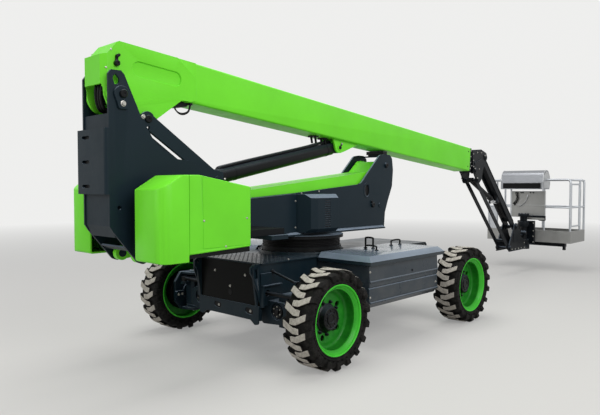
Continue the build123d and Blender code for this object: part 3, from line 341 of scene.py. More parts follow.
def finish_mesh(bm, name, smooth=32.0):
    mesh = bpy.data.meshes.new(name)
    bmesh.ops.recalc_face_normals(bm, faces=bm.faces)
    bm.to_mesh(mesh)
    bm.free()
    return crease(mesh, smooth)


def crease(mesh, angle):
    """Smooth shading with sharp edges above an angle."""
    mesh.shade_smooth()
    mesh.set_sharp_from_angle(angle=math.radians(angle))
    return mesh


def mirrored(mesh):
    """A copy for the machine's other side."""
    made = mesh.copy()
    made.transform(Matrix.Diagonal((1.0, -1.0, 1.0, 1.0)))
    made.flip_normals()
    return made


def piece(name, mesh, look, body, at=AT_SLEW, turn=None):
    """A new object in place, riding on its body."""
    mesh.materials.clear()
    mesh.materials.append(M[look])
    ob = bpy.data.objects.new(name, mesh)
    scene.collection.objects.link(ob)
    ob.location = at
    if turn:
        ob.rotation_euler = turn
    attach(ob, body)
    return ob


def add(name, bm, look, body, bevel=0.0, holes=None, smooth=32.0):
    """A piece from a bmesh, with holes cut by another one and its edges bevelled where asked."""
    mesh = finish_mesh(bm, name, smooth)
    if holes is not None:
        mesh = cut(mesh, finish_mesh(holes, "holes"))
    ob = piece(name, mesh, look, body)
    if bevel:
        bevel_mod(ob, bevel)
    return ob


def lathe(bm, profile, count, place=None):
    """Revolves (y, r) points about the Y axis, closed where r is 0."""
    rings = []
    for y, r in profile:
        if r < 1e-6:
            rings.append([bm.verts.new((0.0, y, 0.0))])
        else:
            rings.append([bm.verts.new((x, y, z)) for z, x in circle(count, r)])
    for a, b in zip(rings, rings[1:]):
        for k in range(count):
            k2 = (k + 1) % count
            quad = [a[k % len(a)], a[k2 % len(a)], b[k2 % len(b)], b[k % len(b)]]
            corners = list(dict.fromkeys(quad))
            if len(corners) > 2:
                bm.faces.new(corners)
    if place is not None:
        bmesh.ops.transform(bm, matrix=place, verts=[v for ring in rings for v in ring])


def facing(at, normal):
    """Places something that stands along +Y on a surface."""
    turn = Vector(ALONG_Y).rotation_difference(Vector(normal)).to_matrix().to_4x4()
    return Matrix.Translation(Vector(at)) @ turn


def turned(bm, steps, count, at=(0.0, 0.0, 0.0), along=ALONG_Y):
    """A closed round body: (distance, radius) steps from a point along a direction."""
    lathe(bm, [(steps[0][0], 0.0)] + steps + [(steps[-1][0], 0.0)], count, facing(at, along))


def disc_stack(bm, x, z, side, steps, count=28):
    """Round steps standing on the XZ plane on one side: (distance from the middle plane, radius)."""
    turned(bm, [(y * side, r) for y, r in steps], count, (x, 0.0, z))


def pin_head(bm, x, z, side, y, r, proud=0.016):
    """End of a pin with its chamfer and centre hole."""
    top = y + proud
    disc_stack(bm, x, z, side, [(y - 0.004, r), (top - 0.004, r), (top, r - 0.004), (top, r * 0.3),
                                (top - 0.004, r * 0.26)])


def prism(bm, loop, u0, u1, axis="Y", end=None):
    """Extrudes a closed 2-D outline: (x, z) along Y, (x, y) along Z or (y, z) along X.
    end is another outline at u1, for sloping walls."""
    def at(p, u):
        return {"Y": (p[0], u, p[1]), "Z": (p[0], p[1], u), "X": (u, p[0], p[1])}[axis]
    if end is None:
        u0, u1 = sorted((u0, u1))
    a = [bm.verts.new(at(p, u0)) for p in loop]
    b = [bm.verts.new(at(p, u1)) for p in end or loop]
    bm.faces.new(a)
    bm.faces.new(b[::-1])
    for k in range(len(loop)):
        k2 = (k + 1) % len(loop)
        bm.faces.new((a[k], b[k], b[k2], a[k2]))


def pair(bm, loop, u0, u1, axis="Y"):
    """A prism and its mirror image on the machine's other side."""
    for s in SIDES:
        if axis == "Y":
            prism(bm, loop, s * u0, s * u1)
        else:
            prism(bm, [(s * u, v) if axis == "X" else (u, s * v) for u, v in loop][::s], u0, u1, axis)


def block(bm, x0, x1, y0, y1, z0, z1):
    prism(bm, rect(x0, x1, z0, z1), y0, y1)


def rod(bm, a, b, r, count=16):
    """A round bar between two points."""
    a, b = Vector(a), Vector(b)
    n = (b - a).length
    edge = min(0.15 * r, 0.25 * n)
    turned(bm, [(0.0, r - edge), (edge, r), (n - edge, r), (n, r - edge)], count, a, b - a)


def bead(bm, line, y, r):
    """A thin round bead along (x, z) points."""
    for a, b in zip(line, line[1:]):
        rod(bm, (a[0], y, a[1]), (b[0], y, b[1]), r, 8)


def hose(bm, points, r, count=12, per=8):
    """A round hose on a smooth line through the points, closed at its ends."""
    pts = [Vector(p) for p in points]
    ends = [pts[0] * 2 - pts[1]] + pts + [pts[-1] * 2 - pts[-2]]
    line = []
    for k in range(len(pts) - 1):
        p0, p1, p2, p3 = ends[k:k + 4]
        d1, d2, d3 = [max((b - a).length, 1e-6) ** 0.5 for a, b in ((p0, p1), (p1, p2), (p2, p3))]
        m1 = (p1 - p0) / d1 - (p2 - p0) / (d1 + d2) + (p2 - p1) / d2
        m2 = (p2 - p1) / d2 - (p3 - p1) / (d2 + d3) + (p3 - p2) / d3
        for j in range(per):
            u = j / per
            line.append((2 * u ** 3 - 3 * u ** 2 + 1) * p1 + (u ** 3 - 2 * u ** 2 + u) * d2 * m1
                        + (3 * u ** 2 - 2 * u ** 3) * p2 + (u ** 3 - u ** 2) * d2 * m2)
    line.append(pts[-1])
    side = (line[1] - line[0]).normalized().orthogonal().normalized()
    rings = []
    for k, at in enumerate(line):
        ahead = (line[min(k + 1, len(line) - 1)] - line[max(k - 1, 0)]).normalized()
        side = (side - ahead * side.dot(ahead)).normalized()
        up = ahead.cross(side)
        rings.append([bm.verts.new(at + side * u + up * v) for u, v in circle(count, r)])
    for a, b in zip(rings, rings[1:]):
        for j in range(count):
            bm.faces.new((a[j], a[(j + 1) % count], b[(j + 1) % count], b[j]))
    bm.faces.new(rings[0][::-1])
    bm.faces.new(rings[-1])


def ferrule(bm, at, along, r):
    """Crimped end fitting with a hexagon, pointing along a direction."""
    turned(bm, [(0.0, r * 1.7), (r * 1.6, r * 1.7)], 6, at, along)
    turned(bm, [(r * 1.5, r * 1.3), (r * 4.0, r * 1.25), (r * 4.2, r * 1.05)], 14, at, along)


def hex_nut(bm, place, r, h, stud=0.0):
    """A six-sided nut or bolt head with a washer, standing along +Y."""
    foot = r * 0.22
    lathe(bm, [(-0.0005, 0.0), (-0.0005, r * 1.5), (r * 0.18, r * 1.5), (foot, r * 1.42), (foot, 0.0)], 18, place)
    lathe(bm, [(foot, 0.0), (foot, r * 1.08), (h * 0.85, r * 1.08), (h, r * 0.92), (h, 0.0)], 6, place)
    if stud:
        lathe(bm, [(h * 0.5, 0.0), (h * 0.5, stud), (h * 1.35, stud), (h * 1.45, stud * 0.8),
                    (h * 1.45, 0.0)], 10, place)


def nuts(bm, spots, along, r, h):
    for at in spots:
        hex_nut(bm, facing(at, along), r, h)


def side_nuts(bm, y, spots, r, h):
    """Nuts on both sides, at (x, z) spots."""
    for s in SIDES:
        nuts(bm, [(x, s * y, z) for x, z in spots], (0.0, s, 0.0), r, h)


def bevel_mod(ob, width, segments=2, angle=30.0):
    mod = ob.modifiers.new("bevel", "BEVEL")
    mod.width = width
    mod.segments = segments
    mod.limit_method = "ANGLE"
    mod.angle_limit = math.radians(angle)
    mod.harden_normals = True
    return mod


def clean_mods(ob, weld_gap):
    """Modifiers that weld a CAD mesh and make its flat faces whole, ahead of a bevel."""
    ob.modifiers.new("weld", "WELD").merge_threshold = weld_gap
    flat = ob.modifiers.new("flat", "DECIMATE")
    flat.decimate_type = "DISSOLVE"
    flat.angle_limit = math.radians(0.6)


def settle(ob):
    """Replaces an object's mesh with the result of its modifiers."""
    dg = bpy.context.evaluated_depsgraph_get()
    made = bpy.data.meshes.new_from_object(ob.evaluated_get(dg))
    ob.modifiers.clear()
    ob.data = made
    return made


def cut(mesh, tool, operation="DIFFERENCE"):
    """Boolean of two meshes as a new mesh."""
    a = bpy.data.objects.new("cut_a", mesh)
    b = bpy.data.objects.new("cut_b", tool)
    scene.collection.objects.link(a)
    scene.collection.objects.link(b)
    mod = a.modifiers.new("cut", "BOOLEAN")
    mod.operation = operation
    mod.solver = "EXACT"
    mod.object = b
    bpy.context.view_layer.update()
    made = settle(a)
    for ob in (a, b):
        bpy.data.objects.remove(ob)
    return made


def prism_tool(loop, u0, u1, axis="Y", end=None):
    bm = bmesh.new()
    prism(bm, loop, u0, u1, axis, end)
    return finish_mesh(bm, "tool")


def side_tools(loop, y0, y1):
    return [prism_tool(loop, s * y0, s * y1) for s in SIDES]


def box_tool(x0, x1, y0, y1, z0, z1):
    return prism_tool(rect(x0, x1, z0, z1), y0, y1)


# ---------------------------------------------------------------- wheels

TYRE_R = 0.42
RIM_HALF = 0.125
LUGS = 18
AXLE_X = {"rear": -0.8, "front": 1.566}
WHEEL_Y = 1.042
KINGPIN_Y = 0.8

# Each row is a section across one tread bar: rear edge, front edge, then y and r of the
# bar's face and of its foot.
LUG_SECTIONS = [
    (-0.056, -0.012, -0.048, 0.4165, -0.05, 0.392),
    (-0.057, -0.01, -0.045, 0.42, -0.05, 0.392),
    (-0.059, -0.007, -0.02, 0.42, -0.02, 0.392),
    (-0.059, -0.007, 0.008, 0.42, 0.008, 0.392),
    (-0.0585, -0.003, 0.016, 0.42, 0.016, 0.392),
    (-0.054, 0.003, 0.028, 0.42, 0.028, 0.392),
    (-0.038, 0.018, 0.06, 0.42, 0.06, 0.392),
    (-0.022, 0.034, 0.092, 0.42, 0.09, 0.391),
    (-0.013, 0.042, 0.112, 0.419, 0.108, 0.388),
    (-0.004, 0.05, 0.132, 0.407, 0.118, 0.383),
    (0.004, 0.057, 0.1485, 0.395, 0.126, 0.377),
    (0.006, 0.058, 0.15, 0.386, 0.13, 0.369),
    (0.007, 0.059, 0.15, 0.365, 0.132, 0.357),
    (0.009, 0.056, 0.149, 0.348, 0.134, 0.346),
    (0.014, 0.05, 0.14, 0.339, 0.134, 0.337),
]
LUG_EDGE, LUG_DRAFT = 0.003, 0.005


def on_wheel(s, y, r):
    """A point s metres round the tread from the wheel's top."""
    a = s / TYRE_R
    return (r * math.sin(a), y, r * math.cos(a))


def add_lug(bm, angle, side):
    rows = []
    for s0, s1, y, r, foot_y, foot_r in LUG_SECTIONS:
        low = LUG_EDGE / max(math.hypot(y - foot_y, r - foot_r), 0.006)
        mid = (y + (foot_y - y) * low, r + (foot_r - r) * low)
        row = [(s0 - LUG_DRAFT, foot_y, foot_r), (s0, *mid), (s0 + LUG_EDGE, y, r), ((s0 + s1) / 2, y, r),
               (s1 - LUG_EDGE, y, r), (s1, *mid), (s1 + LUG_DRAFT, foot_y, foot_r)]
        rows.append([bm.verts.new(on_wheel(s + angle * TYRE_R, py * side, pr)) for s, py, pr in row])
    for a, b in zip(rows, rows[1:]):
        for k in range(len(a) - 1):
            bm.faces.new((a[k], a[k + 1], b[k + 1], b[k]))
    bm.faces.new(rows[0])
    bm.faces.new(rows[-1][::-1])


def around(count, r, y, start=0.0):
    """Places round a wheel at a distance r from its axis."""
    return [Matrix.Translation((x, y, z)) for z, x in circle(count, r, start=start)]


def tyre_mesh():
    bm = bmesh.new()
    side = rounded([(0.1, 0.296), (0.118, 0.2965), (0.126, 0.3005, 0.003), (0.1275, 0.306, 0.002),
                    (0.1245, 0.3085, 0.002), (0.1265, 0.317, 0.004), (0.1315, 0.32, 0.003),
                    (0.1325, 0.326, 0.003), (0.129, 0.3285, 0.002), (0.1325, 0.34, 0.01),
                    (0.1355, 0.36, 0.03), (0.129, 0.38, 0.02), (0.108, 0.393, 0.02), (0.06, 0.396)], 20.0)
    lathe(bm, side + [(0.0, 0.3965)] + [(-y, r) for y, r in reversed(side)], 144)
    step = 2 * math.pi / LUGS
    for k in range(LUGS):
        add_lug(bm, k * step, 1)
        add_lug(bm, (k + 0.5) * step, -1)
    cup = [(0.1335, 0.0), (0.1335, 0.0042), (0.138, 0.0052), (0.138, 0.0066), (0.134, 0.0075)]
    for s in SIDES:
        for place in around(2 * LUGS, 0.332, 0.0, 0.5):
            lathe(bm, [(y * s, r) for y, r in cup], 10, place)
    return finish_mesh(bm, "tyre", 28.0)


def rim_profile(points):
    """Points given by their distance from the rim's outer edge."""
    return rounded([(RIM_HALF + p[0],) + p[1:] for p in points], 18.0)


def rim_mesh():
    """Rim with its outer face on the +Y side: rolled flange, cone, lip, deep barrel and pierced disc."""
    front = [(-0.15, 0.0), (-0.15, 0.1), (-0.146, 0.118, 0.01), (-0.136, 0.205, 0.02), (-0.138, 0.232, 0.012),
             (-0.126, 0.2535, 0.016), (-0.062, 0.254), (-0.0505, 0.252, 0.003), (-0.041, 0.252, 0.0035),
             (-0.04, 0.259, 0.003), (-0.017, 0.282, 0.006), (-0.006, 0.285, 0.006), (0.0, 0.29, 0.004),
             (0.0, 0.298, 0.004), (-0.01, 0.2975)]
    back = [(-0.24, 0.2975), (-0.25, 0.298, 0.004), (-0.25, 0.286, 0.004), (-0.238, 0.28, 0.005),
            (-0.154, 0.279, 0.012), (-0.154, 0.23, 0.01), (-0.154, 0.0)]
    bm, holes = blank(2)
    lathe(bm, rim_profile(front) + rim_profile(back), 96)
    for place in around(5, 0.17, 0.0, 0.25):
        lathe(holes, [(0.06, 0.0), (0.06, 0.026), (-0.08, 0.026), (-0.08, 0.0)], 20, place)
    return crease(cut(finish_mesh(bm, "rim"), finish_mesh(holes, "holes")), 30.0)


def hub_mesh():
    """Black drive hub: drum, stepped face, cover and bolt circle."""
    bm = bmesh.new()
    drum = [(-0.146, 0.122), (-0.138, 0.124, 0.003), (-0.128, 0.11, 0.004), (-0.094, 0.0985, 0.004),
            (-0.084, 0.094, 0.006), (-0.082, 0.082, 0.002), (-0.09, 0.079, 0.002), (-0.09, 0.052, 0.002),
            (-0.0815, 0.05, 0.002), (-0.0805, 0.034, 0.003), (-0.086, 0.03)]
    turned(bm, rounded([(RIM_HALF + p[0],) + p[1:] for p in drum], 20.0), 48)
    for place in around(8, 0.066, RIM_HALF - 0.0905):
        hex_nut(bm, place, 0.007, 0.008)
    return finish_mesh(bm, "hub")


def nuts_mesh():
    bm = bmesh.new()
    for place in around(9, 0.138, RIM_HALF - 0.1445, 0.5):
        hex_nut(bm, place, 0.0125, 0.019, 0.008)
    return finish_mesh(bm, "wheel_nuts")


def build_wheels():
    tyre, rim, hub, nut_ring = tyre_mesh(), rim_mesh(), hub_mesh(), nuts_mesh()
    right_tyre = mirrored(tyre)
    for end, x in AXLE_X.items():
        for side, s in (("left", 1), ("right", -1)):
            name = end + "_" + side
            body = "wheel_" + name
            at = (x + SLEW_X, s * WHEEL_Y, TYRE_R)
            turn = None if s > 0 else (0.0, 0.0, math.pi)
            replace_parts(piece("tread_" + name, tyre if s > 0 else right_tyre, "rubber", body, at),
                        "tyre_" + name)
            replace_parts(piece("rim_" + name, rim, "lime_rim", body, at, turn), "wheel_" + name)
            piece("hub_" + name, hub, "black", body, at, turn)
            piece("nuts_" + name, nut_ring, "black", body, at, turn)


# ---------------------------------------------------------------- tail covers

COVER_SIDE = [(-2.18, 0.965, 0.026), (-1.942, 0.965), (-1.942, 1.018), (-1.34, 1.04), (-1.33, 1.066),
              (-1.33, 1.516, 0.022), (-1.85, 1.605, 0.09), (-2.0, 1.603, 0.07), (-2.18, 1.497)]
COVER_PLAN = [(-2.18, 0.34), (-2.18, 0.69, 0.1), (-1.33, 0.69, 0.028), (-1.33, 0.34)]
COVER_INSIDE = [(-2.166, 0.2), (-2.166, 0.59), (-2.08, 0.676), (-1.344, 0.676), (-1.344, 0.2)]
COVER_WALL = 0.014
# door seams, then the cable slot in the front wall
COVER_CUTS = [(-1.8215, -1.8185, 0.6855, 0.7, 1.055, 1.7), (-1.9445, -1.94, 0.6845, 0.7, 0.9, 1.7),
              (-1.8203, -1.3, 0.6862, 0.71, 1.0525, 1.0561), (-1.36, -1.32, 0.33, 0.64, 1.085, 1.175)]


def shrunk(loop, amount):
    """A closed outline moved inwards by amount along its corners' bisectors."""
    out = []
    n = len(loop)
    area = sum(loop[i][0] * loop[(i + 1) % n][1] - loop[(i + 1) % n][0] * loop[i][1] for i in range(n))
    turn = 1.0 if area > 0 else -1.0
    for i in range(n):
        a, b, c = Vector(loop[i - 1][:2]), Vector(loop[i][:2]), Vector(loop[(i + 1) % n][:2])
        u, v = (b - a).normalized(), (c - b).normalized()
        nu, nv = Vector((-u.y, u.x)) * turn, Vector((-v.y, v.x)) * turn
        bis = (nu + nv).normalized()
        p = b + bis * (amount / max(0.3, bis.dot(nu)))
        out.append((p.x, p.y))
    return out


def crossed(side, plan):
    """What a side outline and a plan outline have in common, as one solid."""
    return cut(prism_tool(side, 0.0, 1.0), prism_tool(plan, 0.8, 1.8, "Z"), "INTERSECT")


def cover_mesh():
    form = crossed(rounded_loop(COVER_SIDE, 9.0), rounded_loop(COVER_PLAN, 6.0))
    ob = bpy.data.objects.new("cover_form", form)
    scene.collection.objects.link(ob)
    bevel_mod(ob, 0.009, 3, 34.0).use_clamp_overlap = False
    bpy.context.view_layer.update()
    form = settle(ob)
    bpy.data.objects.remove(ob)
    form = cut(form, crossed(shrunk(rounded_loop(COVER_SIDE, 30.0), COVER_WALL), COVER_INSIDE))
    for limits in COVER_CUTS:
        form = cut(form, box_tool(*limits))
    return crease(form, 24.0)


def build_covers():
    left = cover_mesh()
    for name, mesh in (("left", left), ("right", mirrored(left))):
        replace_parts(piece("shell_" + name, mesh, "lime", "turntable"), "cover_" + name)


# ---------------------------------------------------------------- nodes redrawn from the CAD mesh

def node_copy(name):
    """A copy of a CAD node's mesh in this file's lengths, welded, and flat faces made whole."""
    mesh = NODES[name].data.copy()
    mesh.transform(Matrix.Translation((-SLEW_X, 0.0, 0.0)))
    bm = bmesh.new()
    bm.from_mesh(mesh)
    bmesh.ops.remove_doubles(bm, verts=bm.verts, dist=1e-5)
    bmesh.ops.dissolve_limit(bm, angle_limit=math.radians(0.5), verts=bm.verts, edges=bm.edges, delimit={"NORMAL"})
    bmesh.ops.triangulate(bm, faces=[f for f in bm.faces if len(f.verts) > 4])
    bm.to_mesh(mesh)
    bm.free()
    return mesh


def redraw(node, tools, width, look, body, smooth=26.0):
    mesh = node_copy(node)
    for tool in tools:
        mesh = cut(mesh, tool)
    ob = piece(node + "_shell", crease(mesh, smooth), look, body)
    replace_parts(ob, node)
    clean_mods(ob, 2e-5)
    bevel_mod(ob, width)


RECESS = ((-2.003, 2.428), (-1.671, 2.399))


def build_boom():
    """Boom: the root's side ends on a slanted crease, its pressed recess has sloping walls, and
    its rear is open under the end plate, with the side plates' edges curving away."""
    beyond = [(-1.683, 2.7), (-1.658, 2.578), (-1.463, 2.426), (-1.457, 2.4), (-1.457, 2.262), (-1.462, 2.246),
              (-1.476, 2.237), (-1.5, 2.233), (-1.52, 2.19), (-1.4, 2.15), (-1.3, 2.3), (-1.3, 2.7)]
    rear = rounded_loop([(-2.4, 2.262), (-2.303, 2.262), (-2.298, 2.2), (-2.268, 2.12, 0.1), (-2.19, 2.072),
                         (-2.19, 1.95), (-2.4, 1.95)], 10.0)
    tools = []
    for s in SIDES:
        tools += [box_tool(-1.72, -1.3, s * 0.1431, s * 0.17, 2.1, 2.72), prism_tool(beyond, s * 0.1356, s * 0.18),
                  prism_tool(stadium(*RECESS, 0.0535), s * 0.1325, s * 0.1436, end=stadium(*RECESS, 0.0615)),
                  prism_tool(rear, s * 0.1, s * 0.18)]
    tools.append(box_tool(-2.34, -2.3, -0.1205, 0.1205, 1.95, 2.282))
    redraw("boom_outer", tools, 0.0035, "lime", "boom")


def build_upright():
    """Upright with its large teardrop eye at the top and a lens-shaped opening under the brace."""
    tear = rounded_loop([(-2.246, 2.362, 0.008), (-2.205, 2.318, 0.03), (-2.222, 2.27, 0.012), (-2.258, 2.296, 0.022)],
                        20.0)
    lens = rounded_loop([(-1.938, 1.96), (-1.945, 1.925, 0.02), (-1.888, 1.845, 0.22), (-1.781, 1.774, 0.25),
                         (-1.62, 1.733), (-1.54, 1.735), (-1.54, 1.9)], 8.0)
    redraw("upright", [prism_tool(tear, -0.3, 0.3), prism_tool(lens, -0.3, 0.3)], 0.0025, "slate", "upright")


TURRET_LINE = [(-1.3, 1.39), (-0.3, 1.455), (0.742, 1.545)]
TURRET_OVER = [(0.7, 1.64), (-1.3, 1.64)]
EYE_X = 0.891


def build_turret():
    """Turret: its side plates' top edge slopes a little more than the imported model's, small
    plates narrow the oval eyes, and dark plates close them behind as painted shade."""
    redraw("turntable_frame", side_tools(TURRET_LINE + TURRET_OVER, 0.17, 0.26), 0.0025, "slate", "turntable")
    lower = [(x, z - 0.004) for x, z in TURRET_LINE]
    redraw("turret_panels", side_tools(lower + TURRET_OVER, 0.19, 0.27), 0.003, "slate", "turntable")
    plates, holes, dark = blank(3)
    pair(plates, stadium((EYE_X, 1.451), (EYE_X, 1.509), 0.058, 12), 0.2001, 0.203)
    pair(holes, [(EYE_X + 0.036 * u, 1.474 + 0.064 * v) for u, v in circle(32, 1.0)], 0.19, 0.22)
    # dark backs in the eyes: painted shade inside the holes
    pair(dark, stadium((EYE_X, 1.446), (EYE_X, 1.514), 0.045, 12), 0.19, 0.194)
    add("eye_plates", plates, "slate", "turntable", holes=holes)
    add("eye_shade_backs", dark, "hose", "turntable")
    # one even column of louvres on the drive box, with dark floors that are painted shade
    x0, x1, pitch, height = -0.062, 0.026, 0.022, 0.009
    tools = [box_tool(x0, x1, -0.4, -0.378, 1.198 + pitch * i, 1.198 + pitch * i + height) for i in range(5)]
    floors = bmesh.new()
    for z in [1.11 + pitch * i for i in range(9)] + [1.31 + pitch * i for i in range(4)]:
        block(floors, x0 + 0.0003, x1 - 0.0003, -0.381, -0.3783, z + 0.0003, z + height - 0.0003)
    redraw("swing_drive_box", tools, 0.0015, "slate", "turntable", smooth=8.0)
    add("louvre_shade_floors", floors, "hose", "turntable")
    # sloped fillet on the ledge along the turret's foot
    bm = bmesh.new()
    pair(bm, [(0.2002, 1.0437), (0.2435, 1.0437), (0.2435, 1.0475), (0.211, 1.066), (0.2002, 1.066)],
         -0.752, 1.188, "X")
    add("turret_fillets", bm, "slate", "turntable")


# ---------------------------------------------------------------- bolts and pins

TREES = {}


def seat(node, at, along):
    """Where a line from a point, in this file's lengths, meets a CAD node."""
    if node not in TREES:
        mesh = NODES[node].data
        TREES[node] = BVHTree.FromPolygons([v.co for v in mesh.vertices], [p.vertices for p in mesh.polygons])
    start = Vector((at[0] + SLEW_X, at[1], at[2]))
    hit = TREES[node].ray_cast(start, Vector(along))[0]
    if hit is None:
        raise RuntimeError("nothing of %s behind %s" % (node, at))
    return Vector((hit.x - SLEW_X, hit.y, hit.z))


def bolts(name, body, rows):
    """Rows are (node, point outside, direction towards the node, size)."""
    bm = bmesh.new()
    for node, at, along, r in rows:
        hex_nut(bm, facing(seat(node, at, along), -Vector(along)), r, r * 1.1)
    add(name, bm, "zinc", body)


def on_side(node, spots, r):
    """Bolt rows on both sides of a node, at (x, z) spots."""
    return [(node, (x, s * 1.6, z), (0.0, -s, 0.0), r) for x, z in spots for s in SIDES]


def build_fasteners():
    screws = bmesh.new()
    head = [(0.0, 0.0), (0.0, 0.0085), (0.002, 0.0082), (0.004, 0.0058), (0.005, 0.0022), (0.0046, 0.0)]
    for x, z in ((-1.384, 1.268), (-1.609, 1.577), (-1.81, 1.263), (-1.602, 1.057)):
        for s in SIDES:
            lathe(screws, head, 14, facing((x, s * 0.6898, z), (0.0, s, 0.0)))
    add("cover_screws", screws, "zinc", "turntable")
    bolts("turret_bolts", "turntable", on_side("turntable_frame", [(-0.212, 1.452), (0.055, 1.47)], 0.0065)
          + on_side("turret_panels", [(-0.305, 1.375), (-0.305, 1.112)], 0.0065))
    deck = [("chassis_frame", (x, y, 1.3), (0.0, 0.0, -1.0), 0.0075)
            for x, y in ((-0.624, -0.415), (-0.624, 0.415), (0.23, -0.44), (0.23, 0.44))]
    boxes = on_side("side_boxes", [(-0.207, 0.507), (-0.209, 0.741), (0.96, 0.516)], 0.0075)
    bolts("chassis_bolts", "chassis", boxes + deck)
    bolts("boom_bolts", "boom", on_side("boom_outer", [(-2.243, 2.542), (-2.281, 2.403)], 0.0055))
    # slots of the rear box, sunk, with dark floors that are painted shade
    tools, floors = [], bmesh.new()
    for z in (1.52, 1.705, 1.89):
        tools.append(prism_tool(stadium((0.03, z), (0.12, z), 0.0125, 8), -2.36, -2.32, "X"))
        prism(floors, stadium((0.03, z), (0.12, z), 0.0122, 8), -2.3215, -2.3195, "X")
    redraw("upright_rear_box", tools, 0.0025, "slate", "upright", smooth=8.0)
    add("rear_box_slot_shade", floors, "plastic", "upright")


RISER_TOP, BOOM_LUG, BOOM_CYL_EYE = (1.27, 1.77), (0.53, 1.95), (-1.262, 1.578)


def build_pins():
    """Pin ends with their keepers, each on the body that carries the pin."""
    bosses, black, zinc = blank(3)
    # the boss tapers below its bolt and ends flat
    boss = []
    for x, z in stadium((-2.196, 2.204), (-2.188, 2.14), 0.0655, 12):
        if z <= 2.2:
            x = -2.188 + (x + 2.188) * (0.7 + 0.3 * max(0.0, (z - 2.14) / 0.06))
        boss.append((x, max(z, 2.096)))
    pair(bosses, boss, 0.1995, 0.2185)
    for s in SIDES:
        pin_head(black, -2.19, 2.21, s, 0.218, 0.031, 0.02)
        pin_head(black, -1.952, 2.046, s, 0.179, 0.03, 0.014)
    side_nuts(zinc, 0.218, [(-2.189, 2.137)], 0.015, 0.016)
    side_nuts(zinc, 0.1795, [(-1.996, 2.06)], 0.012, 0.012)
    add("pivot_bosses", bosses, "slate", "upright", bevel=0.004)
    add("upright_pins", black, "black", "upright")
    add("upright_pin_bolts", zinc, "zinc", "upright")

    root, turret, lug, zinc = blank(4)
    for s in SIDES:
        pin_head(root, -2.201, 2.444, s, 0.1425, 0.0225, 0.026)
        disc_stack(root, -2.199, 2.498, s, [(0.15, 0.012), (0.163, 0.012), (0.165, 0.009)], 14)
        pin_head(turret, 1.0, 1.31, s, 0.211, 0.03, 0.01)
        pin_head(turret, *RISER_TOP, s, 0.211, 0.027, 0.01)
        pin_head(lug, *BOOM_LUG, s, 0.095, 0.0215, 0.01)
    pair(root, stadium((-2.201, 2.444), (-2.199, 2.498), 0.0105, 6), 0.143, 0.153)
    pair(root, stadium((-2.199, 2.498), (-2.184, 2.506), 0.011, 6), 0.143, 0.158)
    pair(turret, stadium((1.0, 1.31), (0.978, 1.346), 0.013, 6), 0.1998, 0.216)
    pair(lug, stadium(BOOM_LUG, (0.562, 1.994), 0.01, 6), 0.09, 0.0985)
    side_nuts(zinc, 0.0982, [(0.56, 1.992)], 0.0085, 0.009)
    add("boom_root_pins", root, "black", "boom")
    add("turntable_pins", turret, "black", "turntable")
    add("boom_lug_pins", lug, "black", "boom")
    add("boom_lug_bolts", zinc, "zinc", "boom")


# ---------------------------------------------------------------- chassis details

PLATE_FACE = -1.0062
FORK_X, MOTOR_AT = -0.8805, (0.545, 0.418)


def build_tail_end():
    bm = bmesh.new()
    prism(bm, rect(-0.4285, 0.4285, 0.458, 0.8275), -1.0065, -0.9998, "X")
    add("end_plate", bm, "end", "chassis", 0.0018)
    skirt, slots, dark, zinc = blank(4)
    half = [(0.315, 0.3285, 0.03), (0.372, 0.288, 0.03), (0.42, 0.3, 0.02), (0.428, 0.462)]
    prism(skirt, rounded_loop(mirrored_loop(half) + [(0.0, 0.329)], 15.0), -1.0125, -0.9995, "X")
    # dark floors in the skirt's slots and dark discs on the end plate: painted shade of recesses
    for y in (0.142, -0.298):
        ends = (y + 0.024, 0.408), (y - 0.024, 0.402)
        prism(slots, stadium(*ends, 0.027, 8), -1.03, -1.006, "X")
        prism(dark, stadium(*ends, 0.0268, 8), -1.0076, PLATE_FACE, "X")
        nuts(zinc, [(-1.0076, y - 0.014, 0.404)], BEHIND, 0.008, 0.008)
    turned(dark, [(0.0, 0.027), (0.003, 0.026)], 24, (PLATE_FACE, -0.035, 0.546), BEHIND)
    for y, z in ((0.183, 0.726), (-0.244, 0.722), (-0.035, 0.6)):
        turned(dark, [(0.0, 0.017), (0.002, 0.016)], 20, (PLATE_FACE, y, z), BEHIND)
        nuts(zinc, [(-1.008, y, z)], BEHIND, 0.008, 0.009)
    add("end_skirt", skirt, "slate", "chassis", 0.0018, slots)
    add("end_recess_shade", dark, "plastic", "chassis")
    add("end_plate_bolts", zinc, "zinc", "chassis")

    # side plates' ears behind the end plate, each with an oblong eye and a beaded edge
    ears, holes = blank(2)
    ear = rounded_loop([(-0.9985, 0.462), (-1.006, 0.5, 0.1), (-1.03, 0.59, 0.1), (-1.074, 0.7, 0.12),
                        (-1.086, 0.838, 0.042), (-0.9985, 0.84)], 12.0)
    rim = rounded([(-1.0245, 0.59), (-1.069, 0.7, 0.12), (-1.08, 0.832, 0.038), (-1.0, 0.834)], 12.0)
    pair(ears, ear, 0.4165, 0.43)
    for s in SIDES:
        bead(ears, rim, s * 0.4232, 0.0085)
    prism(holes, stadium((-1.041, 0.722), (-1.045, 0.776), 0.015, 10), -0.5, 0.5)
    add("tail_ears", ears, "frame", "chassis", holes=holes)


def build_side_boxes():
    """Pressed ribs along the side boxes, and a dark disc that is the painted shade of a hole."""
    ribs, dark = blank(2)
    for z in (0.655, 0.463):
        pair(ribs, [(1.0495, z - 0.022), (1.0555, z - 0.016), (1.0555, z - 0.006), (1.0495, z + 0.003)],
             -0.214, 0.994, "X")
    for s in SIDES:
        turned(dark, [(0.0, 0.012), (0.0015, 0.012)], 16, (0.499, s * 1.0502, 0.687), (0.0, s, 0.0))
    add("box_ribs", ribs, "box", "chassis")
    add("box_hole_shade", dark, "plastic", "chassis")


